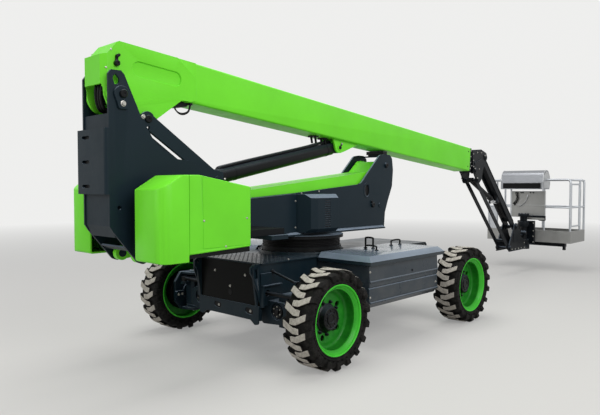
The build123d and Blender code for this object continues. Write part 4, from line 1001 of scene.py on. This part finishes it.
def build_axle():
    """Axle beam's front plate, with the round openings and drums of the steer motors, its side
    brackets, and the stays between the chassis side and the axle fork."""
    beam, ports, drums, zinc = blank(4)
    half = [(0.32, 0.3315, 0.04), (0.374, 0.288, 0.04), (0.69, 0.312, 0.02), (0.69, 0.47, 0.04), (0.62, 0.505, 0.03)]
    prism(beam, rounded_loop(mirrored_loop(half), 15.0), -0.908, -0.8745, "X")
    drum = [(0.0, 0.06), (0.02, 0.06), (0.026, 0.054), (0.026, 0.03), (0.04, 0.028), (0.042, 0.024)]
    for s in SIDES:
        y, z = s * MOTOR_AT[0], MOTOR_AT[1]
        prism(ports, circle(32, 0.076, (y, z)), -0.95, FORK_X, "X")
        turned(drums, drum, 28, (FORK_X, y, z), BEHIND)
        nuts(zinc, [(-0.906, u, v) for u, v in circle(6, 0.043, (y, z), 0.5)], BEHIND, 0.0045, 0.005)
    add("axle_apron", beam, "slate", "chassis", 0.003, ports)
    add("steer_motors", drums, "black", "chassis")
    add("steer_motor_bolts", zinc, "zinc", "chassis")

    bm, holes, stays = blank(3)
    side = [(-0.9995, 0.458), (-0.76, 0.458), (-0.76, 0.642), (-0.866, 0.642), (-0.866, 0.752), (-0.9995, 0.752)]
    prism(holes, circle(24, 0.03, (-0.92, 0.57)), -0.5, 0.5)
    for s in SIDES:
        prism(bm, side, s * 0.4302, s * 0.444)
        for loop, x1 in (([(0.4302, 0.448), (0.472, 0.456), (0.472, 0.646), (0.4302, 0.646)], -0.987),
                         (rect(0.4302, 0.472, 0.636, 0.646), -0.76)):
            prism(bm, [(s * u, v) for u, v in loop][::s], -0.9995, x1, "X")
        prism(bm, [(-0.842, 0.5665), (-0.782, 0.5665), (-0.79, 0.69), (-0.834, 0.69)], s * 0.69, s * 0.704)
        for (x0, y0, z0), (x1, y1, z1), r in (((-0.85, 0.438, 0.757), (-0.815, 0.688, 0.676), 0.0115),
                                              ((-0.85, 0.4295, 0.757), (-0.85, 0.446, 0.757), 0.02),
                                              ((-0.815, 0.68, 0.676), (-0.815, 0.712, 0.676), 0.018)):
            rod(stays, (x0, s * y0, z0), (x1, s * y1, z1), r)
    add("axle_brackets", bm, "slate", "chassis", 0.002, holes)
    add("axle_stays", stays, "black", "chassis")


def build_deck():
    """Raised tread pattern on the deck's tail, and the lids with their black handles."""
    bm = bmesh.new()
    bar = [(0.0115, 0.0), (0.0, 0.0032), (-0.0115, 0.0), (0.0, -0.0032)]
    for i in range(17):
        for j in range(28):
            x, y = -0.968 + i * 0.0285, -0.405 + j * 0.03
            if math.hypot(x, y) < 0.47:
                continue
            lean = math.radians(45.0 if (i + j) % 2 else -45.0)
            c, sn = math.cos(lean), math.sin(lean)
            spots = [(a * c - b * sn, a * sn + b * c) for a, b in bar]
            low, top = [[bm.verts.new((x + k * u, y + k * v, z)) for u, v in spots]
                        for k, z in ((1.0, 0.8418), (0.55, 0.8436))]
            bm.faces.new(top)
            for k in range(4):
                bm.faces.new((low[k], low[(k + 1) % 4], top[(k + 1) % 4], top[k]))
    add("deck_tread", bm, "deck", "chassis", smooth=20.0)

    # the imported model's plain handles come off
    tools = [box_tool(x - 0.02, x + 0.13, s * 0.9, s * 0.96, 0.8832, 0.96) for s in SIDES for x in (0.11, 0.74)]
    redraw("box_lids", tools, 0.005, "lid", "chassis")
    bm = bmesh.new()
    low, bend = 0.878, 0.012
    for s in SIDES:
        for a, b, top, r in (((0.27, 0.775), (0.27, 0.64), 0.918, 0.0085),
                             ((0.4, 0.64), (0.4, 0.545), 0.985, 0.01),
                             ((0.775, 0.61), (0.945, 0.61), 0.93, 0.009)):
            a, b = (a[0], s * a[1]), (b[0], s * b[1])
            hose(bm, [(*a, low), (*a, top - bend), (*a, top), (*b, top), (*b, top - bend), (*b, low)], r, 12, 5)
            for foot in (a, b):
                turned(bm, [(0.0, 0.02), (0.004, 0.02), (0.006, 0.017)], 18, (*foot, 0.8828), ABOVE)
    add("lid_handles", bm, "plastic", "chassis")


def drum_form(bm, x, s):
    turned(bm, [(0.0, 0.15), (0.01, 0.196), (0.03, 0.208), (0.06, 0.208), (0.066, 0.202), (0.096, 0.204),
                (0.1, 0.2)], 48, (x, s * 0.9085, TYRE_R), (0.0, s, 0.0))


def build_yokes():
    """C-shaped steering yokes behind the steered wheels, with the kingpin caps and two bolts."""
    x = AXLE_X["rear"]
    low, high = 0.238, 0.632
    back = [(0.105, low, 0.03), (0.18, 0.33, 0.02), (0.18, 0.53, 0.02), (0.11, high, 0.03)]
    arm = rounded_loop(mirrored_loop([(0.05, 0.712, 0.045), (0.085, 0.79, 0.05), (0.105, 0.9)], x), 15.0)
    for name, s in (("left", 1), ("right", -1)):
        body = "knuckle_" + name
        yoke, caps, zinc, drum = blank(4)
        prism(yoke, rounded_loop(mirrored_loop(back, x), 15.0), s * 0.872, s * 0.908)
        for z0, z1 in ((low, 0.266), (0.604, high)):
            prism(yoke, [(u, s * v) for u, v in arm], z0, z1, "Z")
        for z, d in ((high, 1.0), (low, -1.0)):
            turned(caps, [(0.0, 0.046), (0.008, 0.046), (0.011, 0.042)], 28, (x, s * KINGPIN_Y, z), (0.0, 0.0, d))
            nuts(zinc, [(u, v, z + 0.0108 * d) for u, v in circle(4, 0.03, (x, s * KINGPIN_Y), 0.5)], (0.0, 0.0, d),
                 0.0055, 0.006)
        pad = [(u, v, 0.01) for u, v in rect(-0.984, -0.88, 0.372, 0.436)]
        prism(caps, rounded_loop(pad, 30.0), s * 0.842, s * 0.874)
        nuts(zinc, [(-0.958, s * 0.842, 0.404), (-0.912, s * 0.842, 0.404)], (0.0, -s, 0.0), 0.01, 0.01)
        drum_form(drum, x, s)
        add("yoke_" + name, yoke, "slate", body, 0.006)
        add("yoke_caps_" + name, caps, "slate", body)
        add("yoke_bolts_" + name, zinc, "zinc", body)
        add("drum_" + name, drum, "end", body)
    fixed = bmesh.new()
    for s in SIDES:
        drum_form(fixed, AXLE_X["front"], s)
    add("drums_fixed", fixed, "end", "chassis")


def build_ring():
    """Slewing ring: ridged rubber sleeve, a circle of bolts on its flange, and the collar above."""
    sleeve, black, collar = blank(3)
    upright = Matrix.Rotation(math.pi / 2, 4, "X")
    profile = [(0.914, 0.39)]
    for k in range(5):
        z = 0.9165 + k * 0.0158
        profile += [(z, 0.3975), (z + 0.003, 0.4085), (z + 0.0085, 0.4085), (z + 0.0115, 0.3975)]
    lathe(sleeve, profile + [(0.997, 0.39)], 96, upright)
    nuts(black, [(x, y, 0.8698) for x, y in circle(30, 0.4365)], ABOVE, 0.0065, 0.008)
    lathe(collar, [(0.9975, 0.43), (0.9975, 0.4385), (0.999, 0.4415), (1.006, 0.4415), (1.0075, 0.4402),
                   (1.0215, 0.4402), (1.023, 0.4415), (1.0285, 0.4415), (1.0296, 0.43)], 96, upright)
    add("ring_sleeve", sleeve, "hose", "chassis", smooth=40.0)
    add("ring_bolts", black, "black", "chassis")
    add("ring_collar", collar, "hose", "turntable", smooth=40.0)


# ---------------------------------------------------------------- tail, boom and riser details

def build_boom_details():
    # cast weights' feet under the covers, seen as a dark band
    feet, weld, black, fit, posts = blank(5)
    pair(feet, [(-1.935, 0.988), (-1.33, 0.996), (-1.33, 1.04), (-1.935, 1.022)], 0.352, 0.664)
    add("weight_feet", feet, "black", "turntable", 0.006)
    # weld line where the root's side plates end on the boom
    line = rounded([(-1.655, 2.575), (-1.462, 2.425, 0.06), (-1.458, 2.262, 0.05), (-1.476, 2.2375, 0.02),
                    (-1.612, 2.2335)], 12.0)
    for s in SIDES:
        bead(weld, line, s * 0.1385, 0.0055)
    add("boom_root_weld", weld, "lime", "boom")
    # hoses in the open rear of the root, from the pin's bushing up into the box
    for k, y in enumerate((-0.045, -0.01, 0.03)):
        hose(black, [(-2.175, y, 2.5), (-2.215, y, 2.4), (-2.262 - 0.004 * k, y, 2.29), (-2.268, y + 0.01, 2.19),
                     (-2.236, y + 0.02, 2.112), (-2.17, y + 0.02, 2.085)], 0.0135)
        ferrule(fit, (-2.172, y, 2.508), (-0.38, 0.0, -0.92), 0.0135)
    # plate and looped hoses under the notch between root and tube
    prism(black, rounded_loop([(-1.668, 2.238), (-1.676, 2.186, 0.015), (-1.64, 2.176, 0.015), (-1.53, 2.19, 0.015),
                               (-1.5, 2.232)], 20.0), -0.1, 0.02)
    for k, y in enumerate((-0.108, -0.116)):
        dip = 0.01 * k
        hose(black, [(-1.664, y, 2.19), (-1.655, y, 2.16 - 0.4 * dip), (-1.62, y, 2.134 - dip), (-1.575, y, 2.13 - dip),
                     (-1.525, y, 2.152 - 0.6 * dip), (-1.502, y, 2.205)], 0.0055, 8)
    for x, z in ((-1.664, 2.2), (-1.502, 2.214)):
        block(fit, x - 0.014, x + 0.014, -0.124, -0.098, z - 0.01, z + 0.016)
    add("boom_hoses", black, "hose", "boom")
    add("boom_hose_fittings", fit, "black", "boom")
    # posts that carry the lines from the boom's underside to the cylinder
    for x, z in ((0.185, 2.035), (0.345, 2.02)):
        for y in (-0.028, 0.028):
            rod(posts, (x, y, z + 0.03), (x + 0.018, y, z - 0.048), 0.0125, 12)
        block(posts, x - 0.025, x + 0.035, -0.05, 0.05, z + 0.012, z + 0.034)
    add("boom_port_posts", posts, "black", "boom")


def build_cylinder():
    """Boom cylinder's barrel with its gland, base eye and the hard pipe clamped along its top."""
    base, eye = [Vector((x, 0.0, z)) for x, z in (BOOM_LUG, BOOM_CYL_EYE)]
    unit = (eye - base).normalized()
    up = Vector((unit.z, 0.0, -unit.x))
    end = (eye - base).length * 0.93

    def on_barrel(along, off, y=0.0):
        return base + unit * along + up * off + Vector((0.0, y, 0.0))
    barrel, pipe = blank(2)
    lathe(barrel, rounded([(0.045, 0.0), (0.045, 0.05), (0.06, 0.068, 0.01), (end - 0.066, 0.068),
                           (end - 0.064, 0.0735, 0.002), (end - 0.004, 0.0735, 0.003), (end, 0.066), (end, 0.035),
                           (end - 0.03, 0.035), (end - 0.03, 0.0)], 20.0), 48, facing(base, unit))
    lathe(barrel, [(-0.056, 0.0345), (-0.056, 0.058), (-0.053, 0.061), (0.053, 0.061), (0.056, 0.058), (0.056, 0.0345)],
          40, facing(base, ALONG_Y))
    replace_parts(add("boom_barrel_shell", barrel, "black", "boom_barrel"), "boom_cylinder_barrel")
    for y in (-0.0145, 0.0145):
        hose(pipe, [on_barrel(along, off, y) for along, off in (
            (0.07, 0.066), (0.09, 0.08), (0.5, 0.08), (end - 0.12, 0.08), (end - 0.045, 0.076),
            (end - 0.032, 0.068))], 0.0145, 12, 6)
    for along in (0.16, 1.5):
        lathe(pipe, [(-0.012, 0.068), (-0.012, 0.07), (0.012, 0.07), (0.012, 0.068)], 40,
              facing(on_barrel(along, 0.0), unit))
    add("boom_barrel_pipes", pipe, "black", "boom_barrel")


def build_riser_details():
    """Riser's closed neck: a bent plate between its cheeks over the front pin."""
    px, pz = RISER_TOP
    bends = [(-0.3, -0.085), (-0.262, -0.079, 0.03), (-0.118, 0.04, 0.03), (-0.03, 0.05, 0.05),
             (0.036, 0.04, 0.02), (0.052, -0.01)]
    line = rounded([(px + p[0], pz + p[1]) + p[2:] for p in bends], 12.0)
    under = []
    for k, p in enumerate(line):
        a, b = Vector(line[max(k - 1, 0)]), Vector(line[min(k + 1, len(line) - 1)])
        d = (b - a).normalized() * 0.007
        under.append((p[0] + d.y, p[1] - d.x))
    bm = bmesh.new()
    prism(bm, line + under[::-1], -0.1382, 0.1382)
    add("riser_neck", bm, "lime", "riser_arm")


# ---------------------------------------------------------------- jib and platform details

JIB_TOP, JIB_LOW = (4.1, 1.97), (3.85, 1.62)
LINK_TOP = Vector((JIB_TOP[0], 0.0, JIB_TOP[1]))
LINK_WAY = Vector((1.23, 0.0, -1.14)).normalized()
LINK_UP = Vector((-LINK_WAY.z, 0.0, LINK_WAY.x))
BOOM_SLOPE = math.radians(5.33)


def on_link(along, off, y):
    """A point beside the jib's upper link: metres down it from its top pin, and above its centre line."""
    return LINK_TOP + LINK_WAY * along + LINK_UP * off + Vector((0.0, y, 0.0))


def bar_loop(start, end, off, half):
    """Corners of a strip along the upper link, as (x, z)."""
    pts = [on_link(u, v, 0.0) for u, v in rect(start, end, off - half, off + half)]
    return [(v.x, v.z) for v in pts]


def on_boom(along, off):
    """A point, as (x, z), metres along the boom's axis and above it."""
    return (-1.61 + along * math.cos(BOOM_SLOPE) + off * math.sin(BOOM_SLOPE),
            2.402 - along * math.sin(BOOM_SLOPE) + off * math.cos(BOOM_SLOPE))


def pin_boss(bm, x, z, s, y, r):
    """Raised boss with a pin's end in it."""
    disc_stack(bm, x, z, s, [(y, r), (y + 0.006, r), (y + 0.008, r - 0.004)])
    pin_head(bm, x, z, s, y + 0.0075, 0.029, 0.012)


def build_boom_end():
    """Collar with its bolts on the inner section's end, and the wear pads' screws."""
    bm, zinc, tip = blank(3)
    prism(bm, [on_boom(u, v) for u, v in rect(5.186, 5.214, -0.17, 0.17)], -0.1345, 0.1345)
    side_nuts(zinc, 0.1343, [on_boom(5.2, h) for h in (-0.13, -0.045, 0.045, 0.13)], 0.0075, 0.007)
    for s in SIDES:
        for x, z in (on_boom(5.12, -0.11), on_boom(5.12, 0.11)):
            turned(tip, [(0.0, 0.01), (0.003, 0.009)], 14, (x, s * 0.1348, z), (0.0, s, 0.0))
    add("fly_collar", bm, "jib", "fly", 0.003)
    add("fly_collar_bolts", zinc, "zinc", "fly")
    add("boom_pad_screws", tip, "plastic", "boom")


def build_jib_head():
    """Pin bosses with keepers, stiffeners and a row of bolts."""
    black, zinc = blank(2)
    for x, z, r in ((3.77, 1.762, 0.052), (*JIB_TOP, 0.052), (*JIB_LOW, 0.043)):
        for s in SIDES:
            pin_boss(black, x, z, s, 0.1155, r)
        pair(black, stadium((x - 0.006, z + 0.004), (x - 0.046, z + 0.03), 0.011, 6), 0.1235, 0.13)
        side_nuts(zinc, 0.1298, [(x - 0.044, z + 0.029)], 0.008, 0.008)
    spots = [(3.705, 1.82), (3.7, 1.915), (3.698, 2.01), (3.83, 2.035), (3.96, 2.04), (3.895, 1.79)]
    side_nuts(zinc, 0.1158, spots, 0.0068, 0.007)
    pair(black, rounded_loop([(3.735, 1.835, 0.02), (3.99, 1.905, 0.02), (3.99, 1.95, 0.02), (3.735, 1.885, 0.02)],
                             30.0), 0.1158, 0.123)
    add("head_bosses", black, "jib", "jib_head", 0.0015)
    add("head_bolts", zinc, "zinc", "jib_head")


def build_link():
    """Upper link: edge strips, cylinder boss, clamped hoses and the slack loops over its lower end."""
    strips, hoses, fit, green = blank(4)
    for off in (-0.053, 0.053):
        pair(strips, bar_loop(0.075, 1.6, off, 0.0045), 0.0455, 0.0735)
    eye = on_link(0.9, -0.12, 0.0)
    for s in SIDES:
        disc_stack(strips, eye.x, eye.z, s, [(0.0668, 0.034), (0.0715, 0.034), (0.0735, 0.03)], 24)
    add("link_edges", strips, "jib", "jib_upper", 0.0012)
    start, end, off = 0.19, 1.43, 0.0695
    for y in (-0.03, -0.004, 0.022):
        hose(hoses, [on_link(start + (end - start) * k / 6.0, off + 0.003 * (k % 2), y) for k in range(7)],
             0.0105, 10, 4)
        for u, d in ((start, 1.0), (end, -1.0)):
            ferrule(fit, on_link(u - 0.03 * d, off, y), LINK_WAY * d, 0.0095)
    for u in (0.15, 0.5, 0.82, 1.14, 1.475):
        prism(fit, bar_loop(u - 0.014, u + 0.014, 0.071, 0.016), -0.044, 0.036)
    hose(green, [on_link(u, v, 0.0) for u, v in (
        (0.245, 0.088), (0.33, 0.104), (0.48, 0.102), (0.62, 0.101), (0.76, 0.092))], 0.01, 10, 6)
    for u, d in ((0.25, 1.0), (0.76, -1.0)):
        ferrule(fit, on_link(u - 0.034 * d, 0.088, 0.0), LINK_WAY * d, 0.0095)
        u -= 0.06 * d
        prism(fit, bar_loop(u - 0.016, u + 0.016, 0.078, 0.02), -0.013, 0.013)
    for k, y in enumerate((-0.035, -0.008, 0.019)):
        hose(hoses, [on_link(u, v, y) for u, v in (
            (1.0, -0.02), (1.015, -0.062), (1.07, -0.082 + 0.006 * k), (1.18, -0.084), (1.29, -0.08 - 0.003 * k),
            (1.35, -0.06), (1.365, -0.02))], 0.012, 10, 6)
        for u in (1.0, 1.365):
            ferrule(fit, on_link(u, -0.014, y), -LINK_UP, 0.0105)
    add("link_hoses", hoses, "hose", "jib_upper")
    add("link_green_hose", green, "lime", "jib_upper")
    add("link_fittings", fit, "black", "jib_upper")


def build_foot():
    """Foot: bosses, nuts along its lower bars and the rotator's worm housing with its hoses."""
    black, zinc, hoses = blank(3)
    for x, z, r in ((5.33, 0.83, 0.05), (5.08, 0.48, 0.042)):
        for s in SIDES:
            pin_boss(black, x, z, s, 0.1115, r)
    spots = [(5.165, 0.452), (5.3, 0.446), (5.435, 0.446), (5.56, 0.446), (5.69, 0.446), (5.69, 0.53)]
    side_nuts(zinc, 0.1118, spots, 0.0085, 0.009)
    pair(black, rounded_loop([(5.2, 0.56, 0.02), (5.56, 0.56, 0.02), (5.47, 0.668, 0.03), (5.24, 0.74, 0.03)],
                             30.0), 0.1118, 0.1165)
    pair(black, rect(5.05, 5.738, 0.4205, 0.429), 0.1065, 0.124)
    turned(black, rounded([(-0.094, 0.034), (-0.074, 0.036), (-0.07, 0.046, 0.003), (0.07, 0.046, 0.003),
                           (0.074, 0.036), (0.094, 0.034)], 30.0), 28, (5.818, 0.0, 0.686))
    block(black, 5.6595, 5.8, -0.05, 0.05, 0.64, 0.672)
    block(black, 5.6595, 5.69, -0.05, 0.05, 0.445, 0.672)
    for y in (-0.034, 0.034):
        hose(hoses, [(5.812, y, 0.728), (5.8, y, 0.775), (5.765, y * 1.1, 0.8), (5.715, y * 1.2, 0.785),
                     (5.69, y * 1.2, 0.735), (5.676, y * 1.1, 0.676)], 0.0105, 10, 6)
        ferrule(hoses, (5.813, y, 0.722), (-0.1, 0.0, 1.0), 0.01)
        ferrule(hoses, (5.675, y * 1.1, 0.668), (0.1, 0.0, 1.0), 0.01)
    add("foot_details", black, "jib", "jib_foot", 0.0015)
    add("foot_nuts", zinc, "zinc", "jib_foot")
    add("foot_hoses", hoses, "hose", "jib_foot")


HOOD_LINE = [(5.95, 1.47), (5.95, 1.6, 0.09), (5.99, 1.76, 0.09), (6.08, 1.815, 0.07), (6.19, 1.8, 0.09),
             (6.27, 1.7, 0.12), (6.29, 1.56, 0.09), (6.25, 1.47)]
PANEL_X, ROTATOR_X = 6.0885, 5.93
GATE_SPRING = (6.628, -0.741, 1.26)
SPRING_TURNS, SPRING_R, SPRING_LENGTH = 22, 0.0195, 0.2


def build_hood():
    """Hood: rolled rims at both ends, and a dark wall behind its slot as painted shade."""
    rims, dark = blank(2)
    for y in (-0.3265, 0.4365):
        bead(rims, rounded(HOOD_LINE, 12.0), y, 0.006)
    prism(rims, shrunk(rounded_loop(HOOD_LINE, 12.0), 0.026), -0.3355, -0.3295)
    block(dark, 5.9605, 5.964, -0.305, 0.415, 1.474, 1.594)
    add("hood_rims", rims, "alu", "platform")
    add("hood_slot_shade", dark, "plastic", "platform")


def build_panel():
    """Panel: folded edges, row of knobs under the hood, cables to glands."""
    edges, knobs, cables, grey = blank(4)
    for y0, y1, z0, z1 in ((-0.325, 0.29, 1.43, 1.44), (-0.325, 0.29, 0.9585, 0.966),
                           (-0.325, -0.316, 0.966, 1.43), (0.281, 0.29, 0.966, 1.43), (-0.316, 0.281, 1.18, 1.186)):
        block(edges, 6.08, PANEL_X, y0, y1, z0, z1)
    for y in (0.205, 0.172, 0.112, 0.078, -0.06, -0.11):
        turned(knobs, [(0.0, 0.013), (0.006, 0.013), (0.008, 0.009), (0.02, 0.008), (0.022, 0.005)], 16,
               (PANEL_X, y, 1.408), BEHIND)
    hose(cables, [(6.07, 0.206, 1.404), (6.058, 0.192, 1.372), (6.06, 0.178, 1.33), (6.062, 0.196, 1.27),
                  (6.07, 0.243, 1.212)], 0.0085, 10)
    hose(cables, [(6.072, 0.172, 1.404), (6.062, 0.168, 1.36), (6.064, 0.16, 1.3), (6.066, 0.186, 1.24),
                  (6.072, 0.226, 1.19)], 0.0085, 10)
    for y, z in ((0.243, 1.208), (0.226, 1.186)):
        turned(cables, [(0.0, 0.015), (0.012, 0.015), (0.016, 0.01), (0.022, 0.01)], 12, (PANEL_X, y, z), BEHIND)
    hose(grey, [(6.08, -0.01, 1.372), (6.07, -0.006, 1.34), (6.068, 0.018, 1.262), (6.07, 0.07, 1.2),
                (6.074, 0.14, 1.16), (6.082, 0.16, 1.154)], 0.007, 10)
    add("panel_edges", edges, "alu", "platform")
    add("panel_knobs", knobs, "plastic", "platform")
    add("panel_cables", cables, "hose", "platform")
    add("panel_grey_cable", grey, "alu", "platform")


def build_mount():
    """Mount: rim flanges, gussets, bar under the panel with its switch bracket; the hood's and the
    mount's bolts, the rotator's bolt circle and the coil spring on the gate's post."""
    bar, zinc, black, coil = blank(4)
    block(bar, 6.045, 6.087, -0.336, 0.13, 0.9725, 0.9965)
    prism(bar, rounded_loop([(-0.336, 0.974), (-0.336, 0.905, 0.02), (-0.25, 0.905, 0.06), (-0.15, 0.935, 0.04),
                             (-0.114, 0.944), (-0.114, 0.974)], 20.0), 6.045, 6.087, "X")
    pair(bar, rect(6.026, 6.0405, 0.48, 0.9), 0.128, 0.15)
    for z0, z1 in ((0.884, 0.8895), (0.4805, 0.486)):
        pair(bar, [(5.99, 0.07), (6.0405, 0.135), (6.0405, 0.07)], z0, z1, "Z")
    nuts(zinc, [(x, -0.3352, z) for x, z in ((6.02, 1.53), (6.23, 1.56), (6.115, 1.755))], (0.0, -1.0, 0.0),
         0.006, 0.005)
    nuts(zinc, [(6.0262, s * 0.139, z) for s in SIDES for z in (0.52, 0.62, 0.72, 0.86)], BEHIND, 0.0075, 0.007)
    nuts(black, [(x, y, 1.0298) for x, y in circle(8, 0.076, (ROTATOR_X, 0.0))], ABOVE, 0.0085, 0.01)
    x, y, z = GATE_SPRING
    hose(coil, [(x + SPRING_R * math.cos(a * math.pi / 4), y + SPRING_R * math.sin(a * math.pi / 4),
                 z + SPRING_LENGTH * a / (8.0 * SPRING_TURNS)) for a in range(8 * SPRING_TURNS + 1)], 0.0024, 6, 1)
    add("mount_details", bar, "jib", "platform", 0.0015)
    add("platform_bolts", zinc, "zinc", "platform")
    add("rotator_bolts", black, "black", "jib_foot")
    add("gate_spring", coil, "alu", "platform")


# ---------------------------------------------------------------- softened CAD edges

SOFT_EDGES = {
    "riser_arm": 0.006, "chassis_frame": 0.003, "side_boxes": 0.004, "jib_head": 0.002, "upright_braces": 0.002,
    "control_panel": 0.002, "platform_mount": 0.003, "boom_rest": 0.004, "steer_axle": 0.004, "knuckle_left": 0.004,
    "knuckle_right": 0.004, "jib_foot": 0.002, "platform_tray": 0.001,
}


def soften_nodes():
    for name, width in SOFT_EDGES.items():
        clean_mods(NODES[name], 1e-5)
        bevel_mod(NODES[name], width, 2, 32.0)


# ---------------------------------------------------------------- stage, light and camera

PALE = (0.86, 0.86, 0.85, 1.0)
# name, place, aim, width, height, watts
LAMPS = [("key", (-1.5, -8.5, 6.5), (1.0, 0.0, 1.2), 7.0, 5.0, 520.0),
         ("top", (0.5, 0.5, 8.5), (0.5, 0.0, 1.0), 9.0, 5.0, 460.0),
         ("tail", (-9.5, 1.5, 4.5), (0.0, 0.0, 1.2), 5.0, 4.0, 200.0)]


def stage_and_light():
    bm = bmesh.new()
    bm.faces.new([bm.verts.new((x, y, 0.0)) for x, y in circle(64, 60.0)])
    floor = bpy.data.objects.new("floor", finish_mesh(bm, "floor"))
    scene.collection.objects.link(floor)
    s = material("floor")
    ground = s.node("ShaderNodeBsdfDiffuse", {"Color": (0.5, 0.485, 0.46, 1.0)}).outputs[0]
    glow = s.node("ShaderNodeEmission", {"Color": PALE, "Strength": 1.0}).outputs[0]
    share = s.times(s.seen(), s.span(s.length(s.coord), 5.0, 20.0, 0.3, 1.0))
    floor.data.materials.append(s.output(s.node("ShaderNodeMixShader", {0: share, 1: ground, 2: glow}).outputs[0]))

    scene.world = bpy.data.worlds.new("studio")
    s = Shader(scene.world)
    room = s.node("ShaderNodeBackground", {"Color": (0.93, 0.96, 1.0, 1.0), "Strength": 0.5}).outputs[0]
    back = s.node("ShaderNodeBackground", {"Color": PALE}).outputs[0]
    s.output(s.node("ShaderNodeMixShader", {0: s.seen(), 1: room, 2: back}).outputs[0], "ShaderNodeOutputWorld")

    for name, place, aim, width, height, watts in LAMPS:
        lamp = bpy.data.lights.new(name, "AREA")
        lamp.shape = "RECTANGLE"
        lamp.size = width
        lamp.size_y = height
        lamp.energy = watts
        ob = bpy.data.objects.new(name, lamp)
        scene.collection.objects.link(ob)
        ob.location = (place[0] + SLEW_X, place[1], place[2])
        ob.rotation_euler = (Vector(aim) - Vector(place)).to_track_quat("-Z", "Y").to_euler()


FOCAL_PX, FRAME_PX, SENSOR = 577.0, 600.0, 36.0
EYE_AT = (-4.465, -4.123, 1.518)
YAW, PITCH = math.radians(42.84), math.radians(-2.07)


def add_camera():
    """The photograph's place and angle."""
    cam = bpy.data.cameras.new("camera")
    cam.sensor_fit = "HORIZONTAL"
    cam.sensor_width = SENSOR
    cam.lens = SENSOR * FOCAL_PX / FRAME_PX
    cam.clip_end = 200.0
    ob = bpy.data.objects.new("camera", cam)
    scene.collection.objects.link(ob)
    ob.location = (EYE_AT[0] + SLEW_X, EYE_AT[1], EYE_AT[2])
    look_at = Vector((math.cos(PITCH) * math.cos(YAW), math.cos(PITCH) * math.sin(YAW), math.sin(PITCH)))
    ob.rotation_euler = look_at.to_track_quat("-Z", "Y").to_euler()
    scene.camera = ob


scene.view_settings.view_transform = "Standard"
for build in (stage_and_light, add_camera, build_wheels, build_covers, build_boom, build_upright, build_turret,
              build_fasteners, build_pins, build_tail_end, build_side_boxes, build_axle, build_deck, build_yokes,
              build_ring, build_boom_details, build_cylinder, build_riser_details, build_boom_end, build_jib_head,
              build_link, build_foot, build_hood, build_panel, build_mount, soften_nodes):
    build()

bpy.context.view_layer.update()
